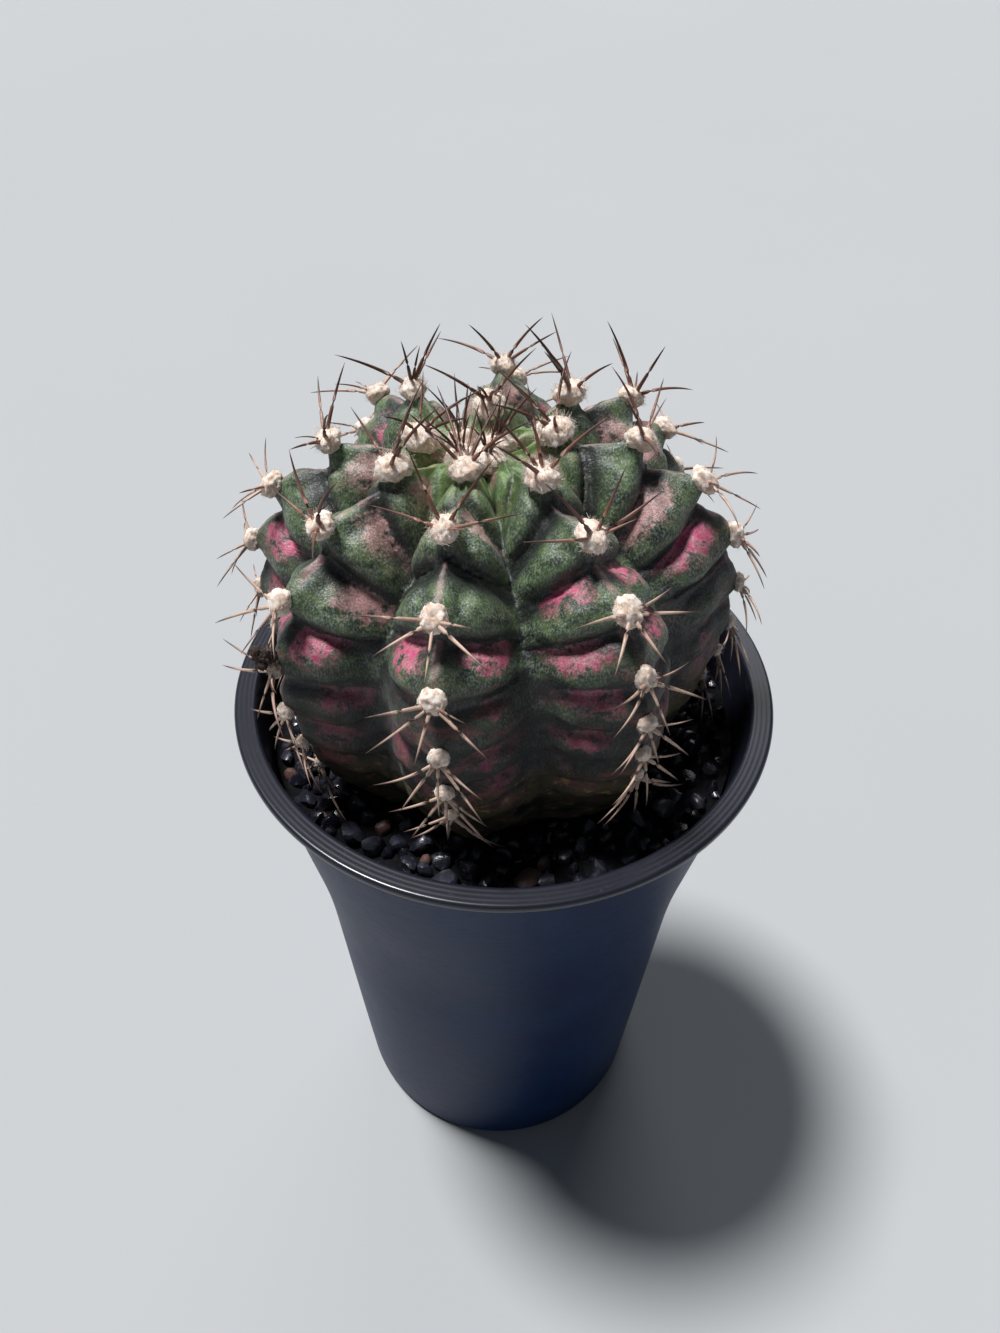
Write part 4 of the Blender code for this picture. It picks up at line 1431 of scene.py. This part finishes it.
def build_stage(look, material):
    """Floor, lights, the room's faint light and the camera."""
    shape = bmesh.new()
    bmesh.ops.create_circle(shape, cap_ends=True, segments=FLOOR_SEGMENTS,
                            radius=look.floor_radius)
    mesh = mesh_from(shape, "floor")
    mesh.materials.append(material)
    floor = new_object("floor", mesh)
    floor.location.z = -FLOOR_GAP

    for name, direction, spread, power in (
            ("key", KEY_DIRECTION, look.key_spread, look.key_power),
            ("fill", FILL_DIRECTION, look.fill_spread, look.fill_power)):
        light = bpy.data.lights.new(name, "SUN")
        light.angle = spread
        light.energy = power
        lamp = new_object(name, light)
        lamp.rotation_euler = Vector(direction).to_track_quat("Z", "Y").to_euler()

    world = bpy.data.worlds.new("soft_room")
    world.use_nodes = True
    world.node_tree.nodes.clear()
    graph = Graph(world.node_tree)
    sky = graph.node("ShaderNodeBackground", {}, {"Color": (*look.room_colour, 1.0),
                                                  "Strength": look.room_strength})
    graph.node("ShaderNodeOutputWorld", {}, {"Surface": sky})
    scene = bpy.context.scene
    scene.world = world
    scene.view_settings.view_transform = "Standard"

    data = bpy.data.cameras.new("camera")
    data.sensor_width = SENSOR
    data.sensor_fit = "AUTO"
    data.lens = CAMERA_FOCAL_PIXELS / IMAGE_HEIGHT * SENSOR
    data.clip_start = 0.01
    camera = new_object("camera", data)
    pitch = Matrix.Rotation(math.radians(90.0 - CAMERA_PITCH), 4, "X")
    roll = Matrix.Rotation(math.radians(CAMERA_ROLL), 4, "Z")
    camera.matrix_world = Matrix.Translation(CAMERA_PLACE) @ pitch @ roll
    scene.camera = camera


# Settings a user would change

def amount(label, text, default, **more):
    return FloatProperty(name=label, description=text, default=default, **more)


def distance(label, text, default):
    return amount(label, text, default, unit="LENGTH", precision=5)


def colour(label, text, default):
    return FloatVectorProperty(name=label, description=text, default=default, size=3,
                               subtype="COLOR", min=0.0, max=1.0)


class PotSettings(bpy.types.PropertyGroup):
    wall_thickness: distance("Wall", "Thickness of the pot's wall", 1.0 * MM)
    floor_thickness: distance("Floor", "Thickness of the pot's floor", 1.4 * MM)
    rim_thickness: distance("Rim", "Thickness of the pot's rim", 1.5 * MM)
    pot_steps: IntProperty(name="Steps", description="Faces round the pot", default=192, min=24)
    wall_colour: colour("Wall colour", "Plastic of the wall", (0.0018, 0.0130, 0.056))
    wall_light: colour("Wall haze", "Paler haze in the plastic", (0.0035, 0.0280, 0.088))
    # The rim colour is also painted on the upper inner wall as shade
    rim_and_inner_shade_colour: colour("Rim colour", "Scuffed plastic of the rim", (0.011, 0.012, 0.020))
    dust_colour: colour("Dust colour", "Dust on the plastic", (0.28, 0.28, 0.30))


class StemSettings(bpy.types.PropertyGroup):
    furrow_depth: distance("Furrow depth", "Deepest furrow between two ribs", 8.6 * MM)
    green_dark: colour("Dark green", "Skin in the shade of a tubercle", (0.0025, 0.0060, 0.0030))
    green_mid: colour("Green", "Most of the skin", (0.020, 0.054, 0.008))
    # Painted light: laid only on the tops of the tubercles
    green_painted_light: colour("Light green", "Back of a tubercle", (0.092, 0.150, 0.042))
    green_young: colour("Young green", "New skin in the crown", (0.150, 0.270, 0.050))
    magenta: colour("Magenta", "Strongest variegation", (0.540, 0.026, 0.150))
    pink: colour("Pink", "Middling variegation", (0.620, 0.190, 0.260))
    blush: colour("Blush", "Pale variegation near the crown", (0.700, 0.370, 0.370))
    # Near-black lower stem: aged skin and painted shade
    aged_skin_and_shade: colour("Aged skin", "Skin of the lower stem", (0.0045, 0.0048, 0.0055))
    rust: colour("Rust", "Red-brown bands of the lower stem", (0.200, 0.046, 0.042))
    olive: colour("Olive", "Foot of the stem", (0.125, 0.098, 0.036))
    cork: colour("Cork", "Corky scars near the gravel", (0.420, 0.230, 0.110))
    # Papillae texture and painted sheen on the tubercle tops
    papillae_and_sheen: colour("Papillae", "Whitish sheen of the skin", (0.400, 0.460, 0.440))


class AreoleSettings(bpy.types.PropertyGroup):
    pad_radius: distance("Pad radius", "Radius of a full-grown wool pad", 1.95 * MM)
    pad_height: distance("Pad height", "Height of a full-grown wool pad", 1.45 * MM)
    fibre_radius: distance("Fibre radius", "Radius of a wool fibre at its root", 0.028 * MM)
    fibre_length: amount("Fibre length", "Length of a fibre in mm", 1.0)
    fibre_density: amount("Fibre density", "Fibres per square metre", 9.0e6)
    wool_light: colour("Light wool", "Fresh wool", (0.900, 0.800, 0.725))
    wool_cream: colour("Cream wool", "Older wool", (0.760, 0.560, 0.430))
    wool_brown: colour("Brown wool", "Dirty hollows of old wool", (0.180, 0.095, 0.050))
    spine_radius: distance("Spine radius", "Radius of a spine near its root", 0.31 * MM)
    spine_pale: colour("Pale spine", "Old spines", (0.520, 0.360, 0.280))
    spine_red: colour("Red-brown spine", "Younger spines and rings", (0.200, 0.085, 0.055))
    spine_dark: colour("Dark spine", "Tips and the youngest spines", (0.050, 0.020, 0.015))


class GravelSettings(bpy.types.PropertyGroup):
    stone_size: amount("Stone size", "Scale of the loose stones", 1.0)
    # Black grains, darker than the stones as painted shade between them
    bed_black_and_shade: colour("Bed", "Packed layer under the loose stones", (0.0015, 0.0015, 0.002))
    stone_black: colour("Black stone", "Most of the stones", (0.006, 0.006, 0.011))
    stone_grey: colour("Grey stone", "The paler stones", (0.028, 0.029, 0.044))
    stone_brown: colour("Brown stone", "The few brown stones", (0.120, 0.060, 0.045))
    stone_dust: colour("Stone dust", "Dust and specks on the stones", (0.200, 0.200, 0.230))
    mix_dark: colour("Dark mix", "Peat in the potting mix", (0.020, 0.014, 0.010))
    mix_brown: colour("Brown mix", "Bark in the potting mix", (0.085, 0.050, 0.028))
    mix_speck: colour("Mix specks", "Pale grains in the potting mix", (0.400, 0.370, 0.320))


class FlowerSettings(bpy.types.PropertyGroup):
    flower_dark: colour("Dark petal", "Shaded folds", (0.012, 0.008, 0.007))
    flower_brown: colour("Brown petal", "Dry petals", (0.060, 0.030, 0.018))
    flower_edge: colour("Petal edge", "Papery edges", (0.220, 0.140, 0.090))


class StageSettings(bpy.types.PropertyGroup):
    floor_colour: colour("Floor", "Pale floor", (0.34, 0.35, 0.36))
    floor_light: colour("Floor light", "Paler clouds in the floor", (0.37, 0.38, 0.39))
    floor_radius: distance("Floor radius", "Radius of the floor", 6.0)
    room_colour: colour("Room", "Light of the room", (0.70, 0.83, 1.00))
    room_strength: amount("Room light", "Strength of the room's light", 0.10)
    key_power: amount("Key light", "Strength of the key light", 5.1)
    key_spread: amount("Key spread", "Angle that the key light fills", math.radians(12.0),
                       unit="ROTATION")
    fill_power: amount("Fill light", "Strength of the fill light", 0.75)
    fill_spread: amount("Fill spread", "Angle that the fill light fills", math.radians(40.0),
                        unit="ROTATION")


# Operators

class BuildOperator:
    bl_options = {"REGISTER", "UNDO"}


class CACTUS_OT_pot(BuildOperator, bpy.types.Operator):
    """Build the pot's wall and give the potting mix its finish"""
    bl_idname = "cactus.pot"
    bl_label = "Pot"

    def execute(self, context):
        look = context.scene.cactus_pot
        build_pot(look, make_material("satin_plastic", paint_plastic, look))
        mix = make_material("potting_mix_finish", paint_mix, context.scene.cactus_gravel)
        frame["nodes"]["potting_mix"].data.materials[0] = mix
        return {"FINISHED"}


class CACTUS_OT_gravel(BuildOperator, bpy.types.Operator):
    """Lay the loose stones on the gravel bed"""
    bl_idname = "cactus.gravel"
    bl_label = "Gravel"

    def execute(self, context):
        look = context.scene.cactus_gravel
        bed = make_material("gravel_bed_finish", paint_gravel_bed, look)
        frame["nodes"]["gravel_bed"].data.materials[0] = bed
        stones = make_material("glossy_stone", paint_stone, look)
        build_gravel(look, context.scene.cactus_stem.furrow_depth, stones)
        return {"FINISHED"}


class CACTUS_OT_stem(BuildOperator, bpy.types.Operator):
    """Grow the ribbed stem with its tubercles"""
    bl_idname = "cactus.stem"
    bl_label = "Stem"

    def execute(self, context):
        look = context.scene.cactus_stem
        build_stem(look, make_material("cactus_skin", paint_skin, look))
        return {"FINISHED"}


class CACTUS_OT_wool(BuildOperator, bpy.types.Operator):
    """Grow the wool pads along the ribs"""
    bl_idname = "cactus.wool"
    bl_label = "Wool"

    def execute(self, context):
        look = context.scene.cactus_areoles
        build_wool(look, make_material("plant_wool", paint_wool, look))
        return {"FINISHED"}


class CACTUS_OT_spines(BuildOperator, bpy.types.Operator):
    """Grow the spines out of the wool pads"""
    bl_idname = "cactus.spines"
    bl_label = "Spines"

    def execute(self, context):
        look = context.scene.cactus_areoles
        build_spines(look, make_material("spine_horn", paint_spine, look))
        return {"FINISHED"}


class CACTUS_OT_flower(BuildOperator, bpy.types.Operator):
    """Add the dried flower on its areole"""
    bl_idname = "cactus.flower"
    bl_label = "Dried flower"

    def execute(self, context):
        look = context.scene.cactus_flower
        build_flower(make_material("dry_petal", paint_flower, look))
        return {"FINISHED"}


class CACTUS_OT_stage(BuildOperator, bpy.types.Operator):
    """Set the floor, the lights and the camera"""
    bl_idname = "cactus.stage"
    bl_label = "Stage"

    def execute(self, context):
        look = context.scene.cactus_stage
        build_stage(look, make_material("pale_floor", paint_floor, look))
        return {"FINISHED"}


BUILDERS = (CACTUS_OT_stage, CACTUS_OT_pot, CACTUS_OT_gravel, CACTUS_OT_stem, CACTUS_OT_wool,
            CACTUS_OT_spines, CACTUS_OT_flower)
SETTINGS = {
    "cactus_pot": PotSettings, "cactus_stem": StemSettings, "cactus_areoles": AreoleSettings,
    "cactus_gravel": GravelSettings, "cactus_flower": FlowerSettings, "cactus_stage": StageSettings,
}


class CACTUS_PT_panel(bpy.types.Panel):
    """The builders and their settings in the sidebar"""
    bl_label = "Chin Cactus"
    bl_space_type = "VIEW_3D"
    bl_region_type = "UI"
    bl_category = "Cactus"

    def draw(self, context):
        for builder in BUILDERS:
            self.layout.operator(builder.bl_idname)
        for name, group in SETTINGS.items():
            box = self.layout.box()
            for key in group.__annotations__:
                box.prop(getattr(context.scene, name), key)


def register():
    for cls in (*SETTINGS.values(), *BUILDERS, CACTUS_PT_panel):
        bpy.utils.register_class(cls)
    for name, group in SETTINGS.items():
        setattr(bpy.types.Scene, name, PointerProperty(type=group))


def unregister():
    for name in SETTINGS:
        delattr(bpy.types.Scene, name)
    for cls in (CACTUS_PT_panel, *reversed(BUILDERS), *SETTINGS.values()):
        bpy.utils.unregister_class(cls)


def main():
    register()
    bpy.ops.cactus.stage()
    bpy.ops.cactus.pot()
    bpy.ops.cactus.gravel()
    bpy.ops.cactus.stem()
    bpy.ops.cactus.wool()
    bpy.ops.cactus.spines()
    bpy.ops.cactus.flower()


if __name__ == "__main__":
    main()
